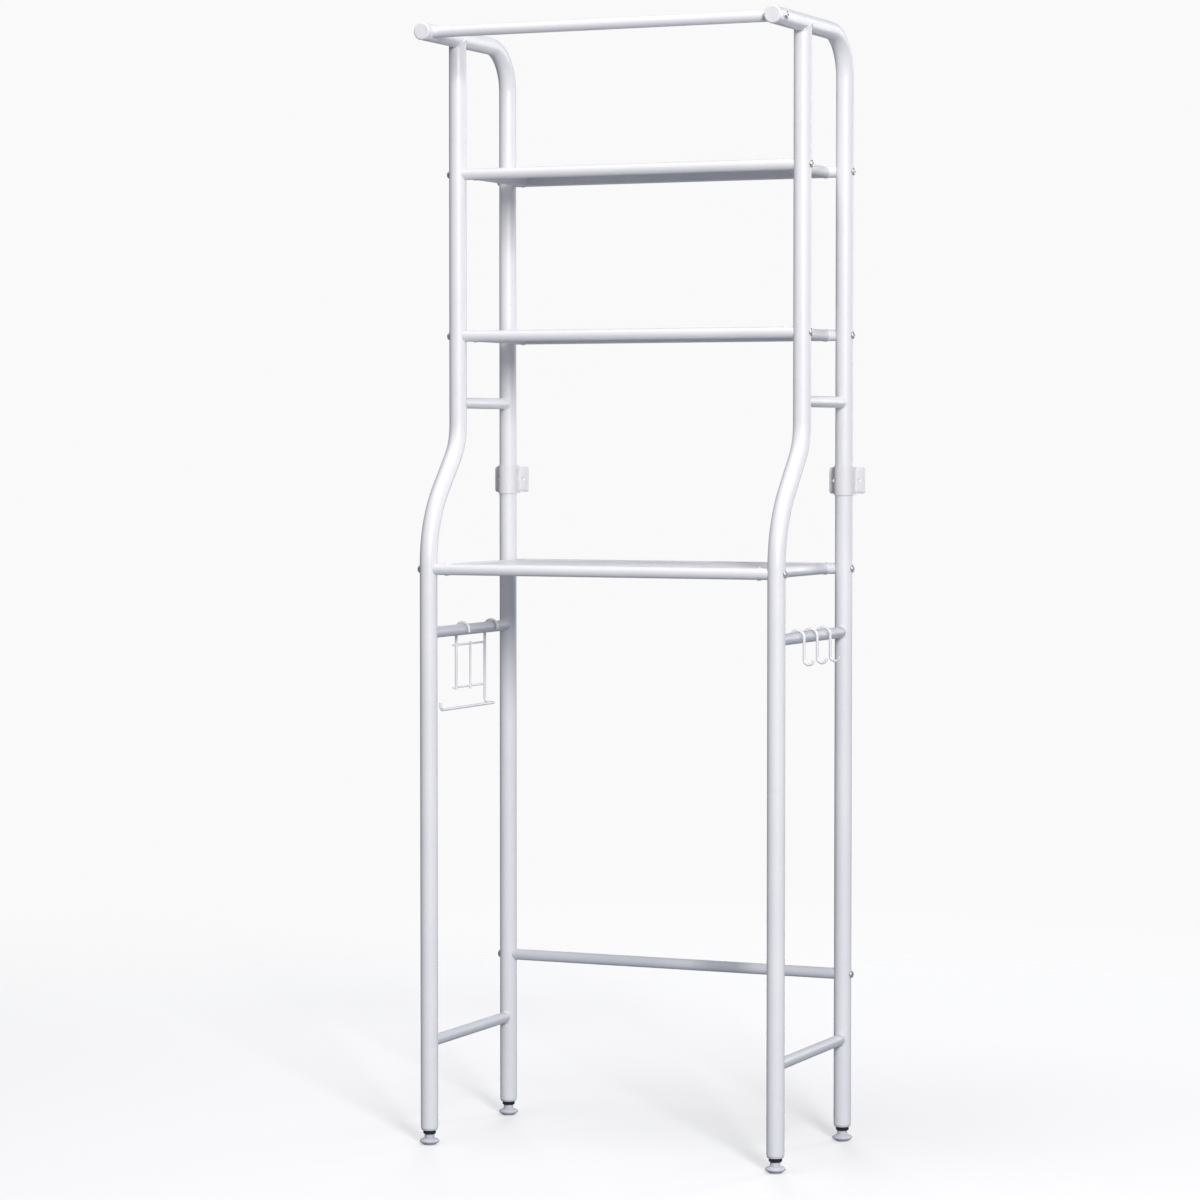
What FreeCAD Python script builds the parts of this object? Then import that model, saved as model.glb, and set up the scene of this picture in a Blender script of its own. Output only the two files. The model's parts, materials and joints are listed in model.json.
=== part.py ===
import FreeCAD, Part
import math
import os
import re

import Sketcher

# Over-the-toilet storage rack: two welded side frames of round steel tube, three shelves bolted
# between them, a towel bar across the arms, levelling feet, wall anchors, hooks and a paper holder.
#
# Frame: +X to the right as seen from the front, +Y to the wall behind, +Z up. The origin is on the
# floor under the middle of the overall box. All sizes are in millimetres.

# ---------------------------------------------------------------------------------------------
# Driving sizes: name, value, what it is
# ---------------------------------------------------------------------------------------------

SIZE_ROWS = [
    ("tube_dia", 25.0, "outer diameter of the uprights and arms"),
    ("tube_wall", 1.2, "wall of the uprights and arms"),
    ("bar_dia", 16.0, "outer diameter of rungs, shelf tubes and cross pieces"),
    ("bar_wall", 1.0, "wall of rungs, shelf tubes and cross pieces"),
    ("frame_width", 532.0, "distance between the left and right upright axes"),
    ("lower_depth", 266.0, "rear to front upright axis below the S-bend"),
    ("upper_depth", 169.0, "rear to front upright axis above the S-bend"),
    ("arm_height", 1588.0, "height of the arm axis"),
    ("arm_reach", 97.0, "upper front upright axis to towel bar axis"),
    ("arm_tip", 17.0, "towel bar axis to the cut end of the arm"),
    ("arm_bend_radius", 62.0, "centreline radius of the bend from rear upright to arm"),
    ("tube_end_height", 24.0, "height of the lower ends of the uprights"),
    ("top_shelf_height", 1393.0, "height of the top shelf's tube axes"),
    ("middle_shelf_height", 1160.0, "height of the middle shelf's tube axes"),
    ("bottom_shelf_height", 826.0, "height of the bottom shelf's tube axes"),
    ("upper_rung_height", 1064.0, "height of the upper rungs"),
    ("hook_rung_height", 735.0, "height of the rungs that carry hooks and paper holder"),
    ("lower_rung_height", 148.0, "height of the lower rungs"),
    ("crossbar_height", 242.0, "height of the rear crossbar"),
    ("sbend_straight", 61.9, "length of the sloping straight in the S-bend"),
    ("sbend_upper_radius", 70.0, "centreline radius of the upper curve of the S-bend"),
    ("sbend_lower_radius", 160.0, "centreline radius of the lower curve of the S-bend"),
    ("weld_gap", 0.1, "gap at a saddle-cut tube end, filled by the weld"),
    ("shelf_side_inset", 27.0, "upright axis to shelf side tube axis"),
    ("panel_sheet", 1.2, "sheet thickness of a shelf panel"),
    ("panel_lip", 13.0, "height of the folded lip of a shelf panel"),
    ("panel_drop", 1.5, "top of the shelf tubes to the top of the panel"),
    ("panel_bend_radius", 2.0, "outer bend radius of the panel fold"),
    ("bolt_dia", 6.0, "thread diameter of the frame bolts"),
    ("bolt_play", 0.2, "radial play of a bolt in an upright"),
    ("bolt_head_dia", 10.5, "head diameter of the frame bolts"),
    ("bolt_head_height", 3.2, "head height of the frame bolts"),
    ("bolt_dome_radius", 2.2, "rounding of the bolt heads"),
    ("bolt_socket", 4.0, "hexagon socket across flats"),
    ("bolt_socket_depth", 2.0, "depth of the hexagon socket"),
    ("bolt_bite", 11.0, "length of bolt inside its insert"),
    ("thread_play", 0.05, "radial play between a thread and its hole"),
    ("insert_length", 14.0, "length of a threaded insert"),
    ("insert_gap", 4.0, "outside of the upright to the near end of an insert"),
    ("slip_fit", 0.05, "radial play of a plug in a tube"),
    ("cap_head", 3.0, "thickness of the arm end cap's head"),
    ("cap_plug", 12.0, "length of the arm end cap's plug"),
    ("cap_edge_radius", 2.4, "rounding of the arm end cap's edge"),
    ("foot_plug_length", 22.0, "length of a foot plug inside its tube"),
    ("foot_flange_inset", 1.0, "outside of the upright to the rim of the foot plug's flange"),
    ("foot_flange", 3.0, "flange thickness of a foot plug"),
    ("foot_flange_round", 1.0, "rounding of the foot plug's flange"),
    ("stud_dia", 8.0, "thread diameter of a foot stud"),
    ("stud_top", 40.0, "height of the top of a foot stud"),
    ("stud_seat", 4.0, "height of the bottom of a foot stud inside its glide"),
    ("stud_point", 1.0, "rounding of the top of a foot stud"),
    ("nut_flats", 17.5, "lock nut across flats"),
    ("nut_height", 5.4, "lock nut thickness"),
    ("nut_corner_radius", 1.4, "rounding of the lock nut's corners"),
    ("glide_dia", 28.5, "diameter of a glide pad"),
    ("glide_base_dia", 18.0, "diameter of a glide pad's flat underside"),
    ("glide_rim_low", 4.2, "height of the lower edge of a glide pad's rim"),
    ("glide_rim_high", 6.4, "height of the upper edge of a glide pad's rim"),
    ("glide_neck_dia", 14.5, "neck diameter of a glide pad"),
    ("glide_neck_height", 5.0, "height of the straight neck of a glide pad"),
    ("glide_height", 15.0, "height of a glide pad with its neck"),
    ("glide_edge_radius", 1.5, "rounding of the glide pad's underside and rim"),
    ("anchor_height", 952.0, "height of the middle of the wall anchors"),
    ("plate_margin", 7.0, "wall screw axis to the nearer edge of the plate"),
    ("plate_height", 38.0, "wall plate height"),
    ("plate_thickness", 3.0, "wall plate thickness"),
    ("plate_corner_radius", 4.0, "wall plate corner radius"),
    ("screw_offset", 7.5, "outside of the upright to the axis of a wall screw"),
    ("plate_screw_hole", 5.0, "wall screw hole diameter"),
    ("clip_sheet", 1.5, "thickness of a tube clip"),
    ("clip_height", 42.0, "height of a tube clip"),
    ("ear_height", 32.0, "height of a tube clip's ears"),
    ("clip_gap", 0.1, "gap between a tube clip and its tube or its plate"),
    ("clip_inset", 1.5, "end of a clip's ear to the edge of the plate"),
    ("hook_wire", 4.0, "diameter of an S-hook's wire"),
    ("wire_end_radius", 1.4, "rounding of an S-hook's wire ends"),
    ("ring_gap", 0.4, "play between a hook and the rung it hangs on"),
    ("hook_drop", 30.0, "upper to lower curve centre of an S-hook"),
    ("hook_lower_radius", 7.0, "centreline radius of an S-hook's lower curve"),
    ("hook_spacing", 52.0, "distance between neighbouring S-hooks"),
    ("hook_centre", 134.0, "rear upright axis to the middle S-hook"),
    ("holder_wire", 4.0, "diameter of the paper holder's main wires"),
    ("cross_wire", 3.0, "diameter of the paper holder's cross wires"),
    ("holder_centre", 107.0, "rear upright axis to the middle of the paper holder"),
    ("holder_span", 96.0, "front wire to rear wire of the paper holder"),
    ("holder_upper_drop", 23.0, "rung axis to the upper cross wire"),
    ("holder_lower_drop", 85.0, "rung axis to the lower cross wire"),
    ("holder_arm_drop", 112.0, "rung axis to the roll arm"),
    ("holder_arm_inset", 6.0, "roll arm inwards of the rung axis"),
    ("holder_tip_gap", 13.5, "turned-up tip of the roll arm to the front upright"),
    ("holder_hook_drop", 4.0, "length of the wire ends below the rung axis, inside the rung"),
    ("wire_overhang", 3.0, "length by which a wire runs past the one that it is welded to"),
    ("holder_tip", 10.0, "height of the turned-up tip"),
    ("holder_bend_radius", 7.0, "centreline radius of the bends in the arm wire"),
]
SIZES = {name: value for name, value, _ in SIZE_ROWS}

# Worked-out sizes, as expressions over the driving sizes and each other.
DERIVED = {
    "tube_r": "tube_dia / 2",
    "bar_r": "bar_dia / 2",
    "half_width": "frame_width / 2",
    "arm_front": "upper_depth + arm_reach + arm_tip",
    "wall_side": "tube_r + plate_thickness",
    "rear_y": "(arm_front + cap_head - wall_side) / 2",
    "sbend_end": "bottom_shelf_height + bar_r",
    "sbend_radii": "sbend_upper_radius + sbend_lower_radius",
    "sbend_shortfall": "lower_depth - upper_depth - sbend_radii",
    "sbend_angle": "atan(sbend_radii / sbend_straight)"
                   " + asin(sbend_shortfall / sqrt(sbend_straight ^ 2 + sbend_radii ^ 2))",
    "sbend_start": "sbend_end + sbend_radii * sin(sbend_angle) + sbend_straight * cos(sbend_angle)",
    "saddle_r": "tube_r + weld_gap",
    "bar_saddle_r": "bar_r + weld_gap",
    "side_x": "half_width - shelf_side_inset",
    "bolt_hole_r": "bolt_dia / 2 + bolt_play",
    "insert_setback": "tube_r + insert_gap",
    "bolt_length": "tube_r + insert_setback + bolt_bite",
    "foot_flange_r": "tube_r - foot_flange_inset",
    "plate_screw_spacing": "tube_dia + 2 * screw_offset",
    "plate_width": "plate_screw_spacing + 2 * plate_margin",
    "foot_hole_r": "stud_dia / 2 + thread_play",
    "ring_r": "bar_r + ring_gap + hook_wire / 2",
    "holder_ring_r": "bar_r + ring_gap + holder_wire / 2",
}

doc = FreeCAD.newDocument("over_toilet_rack")
sheet = doc.addObject("Spreadsheet::Sheet", "Sizes")
for row, (name, value, note) in enumerate(SIZE_ROWS, start=1):
    sheet.set(f"A{row}", note)
    sheet.set(f"B{row}", str(value))
    sheet.setAlias(f"B{row}", name)
doc.recompute()


def full(expression):
    """Spell an expression out for the document: sheet names get their prefix, derived sizes open up."""
    words = re.split(r"([a-z][a-z_]*)", str(expression))
    spelled = []
    for word in words:
        if word in DERIVED:
            spelled.append("(" + full(DERIVED[word]) + ")")
        elif word in SIZES:
            spelled.append("Sizes." + word)
        else:
            spelled.append(word)
    return "".join(spelled)


def size(expression):
    """Number that an expression over the named sizes gives now."""
    return float(sheet.evalExpression(full(expression)))


def bind(thing, prop, expression):
    """Tie a property of an object to the sheet."""
    thing.setExpression(prop, full(expression))


# ---------------------------------------------------------------------------------------------
# Sketch helpers: every point and radius is tied to the sheet
# ---------------------------------------------------------------------------------------------

ORIGIN = (-1, 1)
CENTRE = 3
START = 1
END = 2


def body(name, x="0", y="0", z="0"):
    """Empty body whose own origin sits at the given place."""
    new = doc.addObject("PartDesign::Body", name)
    new.Label = name
    for axis, expression in (("x", x), ("y", y), ("z", z)):
        if expression != "0":
            bind(new, f"Placement.Base.{axis}", expression)
    return new


def sketch(owner, name, plane, offset="0"):
    """Sketch on one of the body's own planes, moved along its normal by an offset."""
    new = owner.newObject("Sketcher::SketchObject", f"{owner.Name}_{name}")
    support = [f for f in owner.Origin.OriginFeatures if f.Role == plane][0]
    new.AttachmentSupport = [(support, "")]
    new.MapMode = "FlatFace"
    if offset != "0":
        bind(new, "AttachmentOffset.Base.z", offset)
    return new


def constrain(target, kind, geometry, expression=None):
    """Add a constraint; a dimension gets a name and is tied to the sheet."""
    if expression is None:
        return target.addConstraint(Sketcher.Constraint(kind, *geometry))
    value = size(expression)
    if kind == "Angle":
        value = math.radians(value)
    index = target.addConstraint(Sketcher.Constraint(kind, *geometry, value))
    name = f"size_{index}"
    target.renameConstraint(index, name)
    bind(target, f"Constraints.{name}", expression)
    return index


def place_point(target, geometry, point, x, y):
    """Fix a point of a sketch at x, y from the sketch's origin."""
    constrain(target, "DistanceX", (*ORIGIN, geometry, point), x)
    constrain(target, "DistanceY", (*ORIGIN, geometry, point), y)


def circle(target, x, y, radius):
    """Circle with its centre and radius tied to the sheet."""
    middle = FreeCAD.Vector(size(x), size(y), 0)
    shape = Part.Circle(middle, FreeCAD.Vector(0, 0, 1), size(radius))
    index = target.addGeometry(shape, False)
    place_point(target, index, CENTRE, x, y)
    constrain(target, "Radius", (index,), radius)
    return index


def outline(target, points):
    """Closed outline of straight lines through points given as pairs of expressions."""
    spots = [FreeCAD.Vector(size(x), size(y), 0) for x, y in points]
    first = target.GeometryCount
    count = len(spots)
    for i in range(count):
        target.addGeometry(Part.LineSegment(spots[i], spots[(i + 1) % count]), False)
    for i in range(count):
        constrain(target, "Coincident", (first + i, END, first + (i + 1) % count, START))
    for i, (x, y) in enumerate(points):
        place_point(target, first + i, START, x, y)
    return first


def box_outline(target, low_x, high_x, low_y, high_y):
    """Closed rectangle between two corners."""
    return outline(target, [(low_x, low_y), (high_x, low_y), (high_x, high_y), (low_x, high_y)])


def hexagon(target, flats):
    """Closed regular hexagon about the sketch's origin, given its size across flats."""
    angles = [60 * i for i in range(6)]
    outline(target, [(f"{flats} / 2 / cos(30) * cos({angle})", f"{flats} / 2 / cos(30) * sin({angle})")
                     for angle in angles])


def pad(owner, name, profile, length, symmetric=False, backwards=False):
    """Pad a sketch of the body."""
    new = owner.newObject("PartDesign::Pad", f"{owner.Name}_{name}")
    new.Profile = profile
    bind(new, "Length", length)
    if symmetric:
        new.SideType = "Symmetric"
    new.Reversed = backwards
    return new


def pocket(owner, name, profile, length=None, symmetric=False, backwards=False):
    """Pocket a sketch of the body, right through when no length is given."""
    new = owner.newObject("PartDesign::Pocket", f"{owner.Name}_{name}")
    new.Profile = profile
    if length is None:
        new.Type = "ThroughAll"
    else:
        bind(new, "Length", length)
    if symmetric:
        new.SideType = "Symmetric"
    new.Reversed = backwards
    return new


def pipe(owner, name, profile, path, cut=False):
    """Sweep a sketch of the body along a path sketch."""
    kind = "PartDesign::SubtractivePipe" if cut else "PartDesign::AdditivePipe"
    new = owner.newObject(kind, f"{owner.Name}_{name}")
    new.Profile = profile
    new.Spine = path
    return new


def round_edges(owner, name, radius, keep):
    """Fillet the edges of the body's tip that the keep function picks."""
    doc.recompute()
    base = owner.Tip
    names = [f"Edge{i}" for i, edge in enumerate(base.Shape.Edges, start=1) if keep(edge)]
    new = owner.newObject("PartDesign::Fillet", f"{owner.Name}_{name}")
    new.Base = (base, names)
    bind(new, "Radius", radius)
    return new


def ring_edge(radius, height):
    """Test for a full circular edge of this radius at this height above its body's origin."""
    def test(edge):
        if not isinstance(edge.Curve, Part.Circle):
            return False
        same_radius = abs(edge.Curve.Radius - size(radius)) < 0.01
        return same_radius and abs(edge.BoundBox.Center.z - size(height)) < 0.01
    return test


# ---------------------------------------------------------------------------------------------
# Tubes
# ---------------------------------------------------------------------------------------------

def straight_tube(name, plane, length, saddles, saddle_plane="XY_Plane", saddle_r="saddle_r",
                  x="0", y="0", z="0"):
    """Round tube along the plane's normal, centred on its body's origin, with saddle-cut ends."""
    tube = body(name, x, y, z)
    section = sketch(tube, "section", plane)
    circle(section, "0", "0", "bar_r")
    circle(section, "0", "0", "bar_r - bar_wall")
    pad(tube, "tube", section, length, symmetric=True)
    cut = sketch(tube, "saddles", saddle_plane)
    for spot_x, spot_y in saddles:
        circle(cut, spot_x, spot_y, saddle_r)
    pocket(tube, "saddle_cut", cut, "tube_dia * 4", symmetric=True)
    return tube


def upright_holes(upright, spots):
    """Bolt holes through an upright along X, at pairs of y and z."""
    holes = sketch(upright, "bolt_holes", "YZ_Plane")
    for spot_y, spot_z in spots:
        circle(holes, spot_y, spot_z, "bolt_hole_r")
    pocket(upright, "bolt_holes_cut", holes, "tube_dia * 2", symmetric=True)


def rear_upright(name, x):
    """Rear upright: straight up, then one bend forward into the arm over the front upright."""
    upright = body(name, x, "rear_y")
    path = sketch(upright, "path", "YZ_Plane")
    top = size("arm_height")
    foot = size("tube_end_height")
    radius = size("arm_bend_radius")
    corner = FreeCAD.Vector(-radius, top - radius, 0)
    bend_low = FreeCAD.Vector(0, top - radius, 0)
    bend_high = FreeCAD.Vector(-radius, top, 0)
    path.addGeometry(Part.LineSegment(FreeCAD.Vector(0, foot, 0), bend_low), False)
    bend = Part.Circle(corner, FreeCAD.Vector(0, 0, 1), radius)
    path.addGeometry(Part.ArcOfCircle(bend, 0, math.pi / 2), False)
    tip = FreeCAD.Vector(-size("arm_front"), top, 0)
    path.addGeometry(Part.LineSegment(bend_high, tip), False)
    constrain(path, "Vertical", (0,))
    constrain(path, "Horizontal", (2,))
    constrain(path, "Tangent", (0, END, 1, START))
    constrain(path, "Tangent", (1, END, 2, START))
    place_point(path, 0, START, "0", "tube_end_height")
    place_point(path, 2, END, "-arm_front", "arm_height")
    constrain(path, "Radius", (1,), "arm_bend_radius")
    section = sketch(upright, "section", "XY_Plane", "tube_end_height")
    circle(section, "0", "0", "tube_r")
    pipe(upright, "outside", section, path)
    bore = sketch(upright, "bore", "XY_Plane", "tube_end_height")
    circle(bore, "0", "0", "tube_r - tube_wall")
    pipe(upright, "hollow", bore, path, cut=True)
    heights = ["top_shelf_height", "middle_shelf_height", "bottom_shelf_height", "crossbar_height"]
    spots = [("0", height) for height in heights]
    spots.append(("-(upper_depth + arm_reach)", "arm_height"))
    upright_holes(upright, spots)
    return upright


def front_upright(name, x):
    """Front upright: straight, S-bend forward going down, straight; saddle-cut under the arm."""
    upright = body(name, x, "rear_y")
    path = sketch(upright, "path", "YZ_Plane")
    near, far = -size("upper_depth"), -size("lower_depth")
    turn = math.radians(size("sbend_angle"))
    low_r, high_r = size("sbend_lower_radius"), size("sbend_upper_radius")
    low_end, high_end = size("sbend_end"), size("sbend_start")
    normal = FreeCAD.Vector(0, 0, 1)
    low_centre = FreeCAD.Vector(far + low_r, low_end, 0)
    high_centre = FreeCAD.Vector(near - high_r, high_end, 0)
    low_exit = low_centre + FreeCAD.Vector(-low_r * math.cos(turn), low_r * math.sin(turn), 0)
    high_entry = high_centre + FreeCAD.Vector(high_r * math.cos(turn), -high_r * math.sin(turn), 0)
    bottom = FreeCAD.Vector(far, size("tube_end_height"), 0)
    top = FreeCAD.Vector(near, size("arm_height"), 0)
    path.addGeometry(Part.LineSegment(bottom, FreeCAD.Vector(far, low_end, 0)), False)
    low_circle = Part.Circle(low_centre, normal, low_r)
    path.addGeometry(Part.ArcOfCircle(low_circle, math.pi - turn, math.pi), False)
    path.addGeometry(Part.LineSegment(low_exit, high_entry), False)
    high_circle = Part.Circle(high_centre, normal, high_r)
    path.addGeometry(Part.ArcOfCircle(high_circle, -turn, 0), False)
    path.addGeometry(Part.LineSegment(FreeCAD.Vector(near, high_end, 0), top), False)
    constrain(path, "Vertical", (0,))
    constrain(path, "Vertical", (4,))
    constrain(path, "Tangent", (0, END, 1, END))
    constrain(path, "Tangent", (1, START, 2, START))
    constrain(path, "Tangent", (2, END, 3, START))
    constrain(path, "Tangent", (3, END, 4, START))
    place_point(path, 0, START, "-lower_depth", "tube_end_height")
    place_point(path, 4, END, "-upper_depth", "arm_height")
    constrain(path, "DistanceY", (*ORIGIN, 0, END), "sbend_end")
    constrain(path, "Radius", (1,), "sbend_lower_radius")
    constrain(path, "Radius", (3,), "sbend_upper_radius")
    constrain(path, "DistanceY", (*ORIGIN, 4, START), "sbend_start")
    section = sketch(upright, "section", "XY_Plane", "tube_end_height")
    circle(section, "0", "-lower_depth", "tube_r")
    pipe(upright, "outside", section, path)
    bore = sketch(upright, "bore", "XY_Plane", "tube_end_height")
    circle(bore, "0", "-lower_depth", "tube_r - tube_wall")
    pipe(upright, "hollow", bore, path, cut=True)
    saddle = sketch(upright, "saddle", "XZ_Plane")
    circle(saddle, "0", "arm_height", "saddle_r")
    pocket(upright, "saddle_cut", saddle, "lower_depth * 3", symmetric=True)
    spots = [("-upper_depth", "top_shelf_height"), ("-upper_depth", "middle_shelf_height")]
    spots.append(("-lower_depth", "bottom_shelf_height"))
    upright_holes(upright, spots)
    return upright


def rung(name, x, depth, height):
    """Rung from the rear upright to the front one, saddle-cut at both ends."""
    ends = [("0", f"-{depth} / 2"), ("0", f"{depth} / 2")]
    return straight_tube(name, "XZ_Plane", depth, ends, x=x, y=f"rear_y - {depth} / 2", z=height)


def cross_tube(name, y, z, saddle_plane="XY_Plane"):
    """Tube from the left side frame to the right one, saddle-cut at both ends."""
    ends = [("-half_width", "0"), ("half_width", "0")]
    return straight_tube(name, "YZ_Plane", "frame_width", ends, saddle_plane, y=y, z=z)


SIDES = {"left": "-half_width", "right": "half_width"}
nodes = []
for side, side_place in SIDES.items():
    nodes.append(rear_upright(f"rear_upright_{side}", side_place))
    nodes.append(front_upright(f"front_upright_{side}", side_place))
    nodes.append(rung(f"upper_rung_{side}", side_place, "upper_depth", "upper_rung_height"))
    nodes.append(rung(f"hook_rung_{side}", side_place, "lower_depth", "hook_rung_height"))
    nodes.append(rung(f"lower_rung_{side}", side_place, "lower_depth", "lower_rung_height"))
nodes.append(cross_tube("towel_bar", "rear_y - upper_depth - arm_reach", "arm_height", "XZ_Plane"))
nodes.append(cross_tube("rear_crossbar", "rear_y", "crossbar_height"))

# ---------------------------------------------------------------------------------------------
# Shelves
# ---------------------------------------------------------------------------------------------

SHELVES = {
    "top_shelf": ("top_shelf_height", "upper_depth"),
    "middle_shelf": ("middle_shelf_height", "upper_depth"),
    "bottom_shelf": ("bottom_shelf_height", "lower_depth"),
}


def shelf_side_tube(name, x, depth, height):
    """Side tube of a shelf, saddle-cut to its front and rear tubes."""
    ends = [(f"-{depth} / 2", "0"), (f"{depth} / 2", "0")]
    return straight_tube(name, "XZ_Plane", depth, ends, "YZ_Plane", "bar_saddle_r",
                         x=x, y=f"rear_y - {depth} / 2", z=height)


def shelf_panel(name, depth, height):
    """Sheet panel folded down all round, its lips against the four shelf tubes."""
    top = "bar_r - panel_drop"
    panel = body(name, "0", f"rear_y - {depth} / 2", f"{height} + {top} - panel_lip")
    reach_x = "(side_x - bar_saddle_r)"
    reach_y = f"({depth} / 2 - bar_saddle_r)"
    blank = sketch(panel, "blank", "XY_Plane")
    box_outline(blank, f"-{reach_x}", reach_x, f"-{reach_y}", reach_y)
    pad(panel, "block", blank, "panel_lip")
    inner_x = f"({reach_x} - panel_sheet)"
    inner_y = f"({reach_y} - panel_sheet)"
    hollow = sketch(panel, "hollow", "XY_Plane")
    box_outline(hollow, f"-{inner_x}", inner_x, f"-{inner_y}", inner_y)
    pocket(panel, "hollow_cut", hollow, "panel_lip - panel_sheet", backwards=True)
    upper = size("panel_lip")
    round_edges(panel, "fold", "panel_bend_radius", lambda edge: edge.BoundBox.ZMin > upper - 0.01)
    return panel


for shelf, (height, depth) in SHELVES.items():
    nodes.append(cross_tube(f"{shelf}_front_tube", f"rear_y - {depth}", height))
    nodes.append(cross_tube(f"{shelf}_rear_tube", "rear_y", height))
    nodes.append(shelf_side_tube(f"{shelf}_left_tube", "-side_x", depth, height))
    nodes.append(shelf_side_tube(f"{shelf}_right_tube", "side_x", depth, height))
    nodes.append(shelf_panel(f"{shelf}_panel", depth, height))

# ---------------------------------------------------------------------------------------------
# Bolts and threaded inserts: one of each is modelled, then copied to every joint
# ---------------------------------------------------------------------------------------------

def bolt():
    """Button-head bolt along Z, its head's underside at the origin and its shank going down."""
    new = body("bolt_master")
    head = sketch(new, "head", "XY_Plane")
    circle(head, "0", "0", "bolt_head_dia / 2")
    pad(new, "head_pad", head, "bolt_head_height")
    round_edges(new, "dome", "bolt_dome_radius", ring_edge("bolt_head_dia / 2", "bolt_head_height"))
    shank = sketch(new, "shank", "XY_Plane")
    circle(shank, "0", "0", "bolt_dia / 2")
    pad(new, "shank_pad", shank, "bolt_length", backwards=True)
    socket = sketch(new, "socket", "XY_Plane", "bolt_head_height")
    hexagon(socket, "bolt_socket")
    pocket(new, "socket_cut", socket, "bolt_socket_depth")
    return new


def insert():
    """Threaded insert along Z, its near end at the origin and its length going down."""
    new = body("insert_master")
    ring = sketch(new, "ring", "XY_Plane")
    circle(ring, "0", "0", "bar_r - bar_wall - slip_fit")
    circle(ring, "0", "0", "bolt_dia / 2 + thread_play")
    pad(new, "ring_pad", ring, "insert_length", backwards=True)
    return new


def lock_nut():
    """Hexagonal lock nut, standing on its body's origin."""
    new = body("nut_master")
    flats = sketch(new, "flats", "XY_Plane")
    hexagon(flats, "nut_flats")
    pad(new, "nut_pad", flats, "nut_height")
    hole = sketch(new, "hole", "XY_Plane")
    circle(hole, "0", "0", "foot_hole_r")
    pocket(new, "hole_cut", hole, "nut_height", backwards=True)
    tall = size("nut_height")
    round_edges(new, "corners", "nut_corner_radius", lambda edge: edge.BoundBox.ZLength > tall - 0.01)
    return new


bolt_master = bolt()
insert_master = insert()
nut_master = lock_nut()
doc.recompute()


def group(name, master, placements):
    """One node that holds a copy of the master solid at each placement."""
    copies = [master.Shape.transformed(place.toMatrix()) for place in placements]
    new = doc.addObject("Part::Feature", name)
    new.Label = name
    new.Shape = Part.makeCompound(copies)
    nodes.append(new)
    return new


def facing(side):
    """Rotation that turns +Z to point out of the left or right side of the rack."""
    outwards = FreeCAD.Vector(1 if side == "right" else -1, 0, 0)
    return FreeCAD.Rotation(FreeCAD.Vector(0, 0, 1), outwards)


def joint_places(spots, distance):
    """Placements on both sides, at a distance out from the upright axis, for pairs of y and z."""
    places = []
    for side, sign in (("left", -1), ("right", 1)):
        for spot_y, spot_z in spots:
            at = FreeCAD.Vector(sign * (size("half_width") + size(distance)), size(spot_y), size(spot_z))
            places.append(FreeCAD.Placement(at, facing(side)))
    return places


shelf_spots = []
for height, depth in SHELVES.values():
    shelf_spots.append(("rear_y", height))
    shelf_spots.append((f"rear_y - {depth}", height))
towel_spots = [("rear_y - upper_depth - arm_reach", "arm_height")]
crossbar_spots = [("rear_y", "crossbar_height")]
group("shelf_bolts", bolt_master, joint_places(shelf_spots, "tube_r"))
group("towel_bar_bolts", bolt_master, joint_places(towel_spots, "tube_r"))
group("crossbar_bolts", bolt_master, joint_places(crossbar_spots, "tube_r"))
group("shelf_tube_inserts", insert_master, joint_places(shelf_spots, "-insert_setback"))
group("cross_piece_inserts", insert_master, joint_places(towel_spots + crossbar_spots, "-insert_setback"))

# ---------------------------------------------------------------------------------------------
# Arm end caps and feet
# ---------------------------------------------------------------------------------------------

def arm_end_cap(name, x):
    """Domed cap with a plug that fits inside the arm; built along Z and turned to face forward."""
    cap = body(name, x, "rear_y - arm_front", "arm_height")
    cap.Placement.Rotation = FreeCAD.Rotation(FreeCAD.Vector(1, 0, 0), 90)
    head = sketch(cap, "head", "XY_Plane")
    circle(head, "0", "0", "tube_r")
    pad(cap, "head_pad", head, "cap_head")
    round_edges(cap, "dome", "cap_edge_radius", ring_edge("tube_r", "cap_head"))
    plug = sketch(cap, "plug", "XY_Plane")
    circle(plug, "0", "0", "tube_r - tube_wall - slip_fit")
    pad(cap, "plug_pad", plug, "cap_plug", backwards=True)
    return cap


def foot_plug(name, x, y):
    """Plug in the lower end of an upright, with the threaded hole for the foot stud."""
    plug = body(name, x, y, "tube_end_height")
    core = sketch(plug, "core", "XY_Plane")
    circle(core, "0", "0", "tube_r - tube_wall - slip_fit")
    pad(plug, "core_pad", core, "foot_plug_length")
    flange = sketch(plug, "flange", "XY_Plane")
    circle(flange, "0", "0", "foot_flange_r")
    pad(plug, "flange_pad", flange, "foot_flange", backwards=True)
    round_edges(plug, "rim", "foot_flange_round", ring_edge("foot_flange_r", "-foot_flange"))
    hole = sketch(plug, "hole", "XY_Plane", "-foot_flange")
    circle(hole, "0", "0", "foot_hole_r")
    pocket(plug, "hole_cut", hole, "foot_plug_length + foot_flange * 2", backwards=True)
    return plug


def foot_stud(name, x, y):
    """Threaded stud from inside the glide pad up into the foot plug."""
    stud = body(name, x, y, "stud_seat")
    rod = sketch(stud, "rod", "XY_Plane")
    circle(rod, "0", "0", "stud_dia / 2")
    pad(stud, "rod_pad", rod, "stud_top - stud_seat")
    round_edges(stud, "point", "stud_point", ring_edge("stud_dia / 2", "stud_top - stud_seat"))
    return stud


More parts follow.
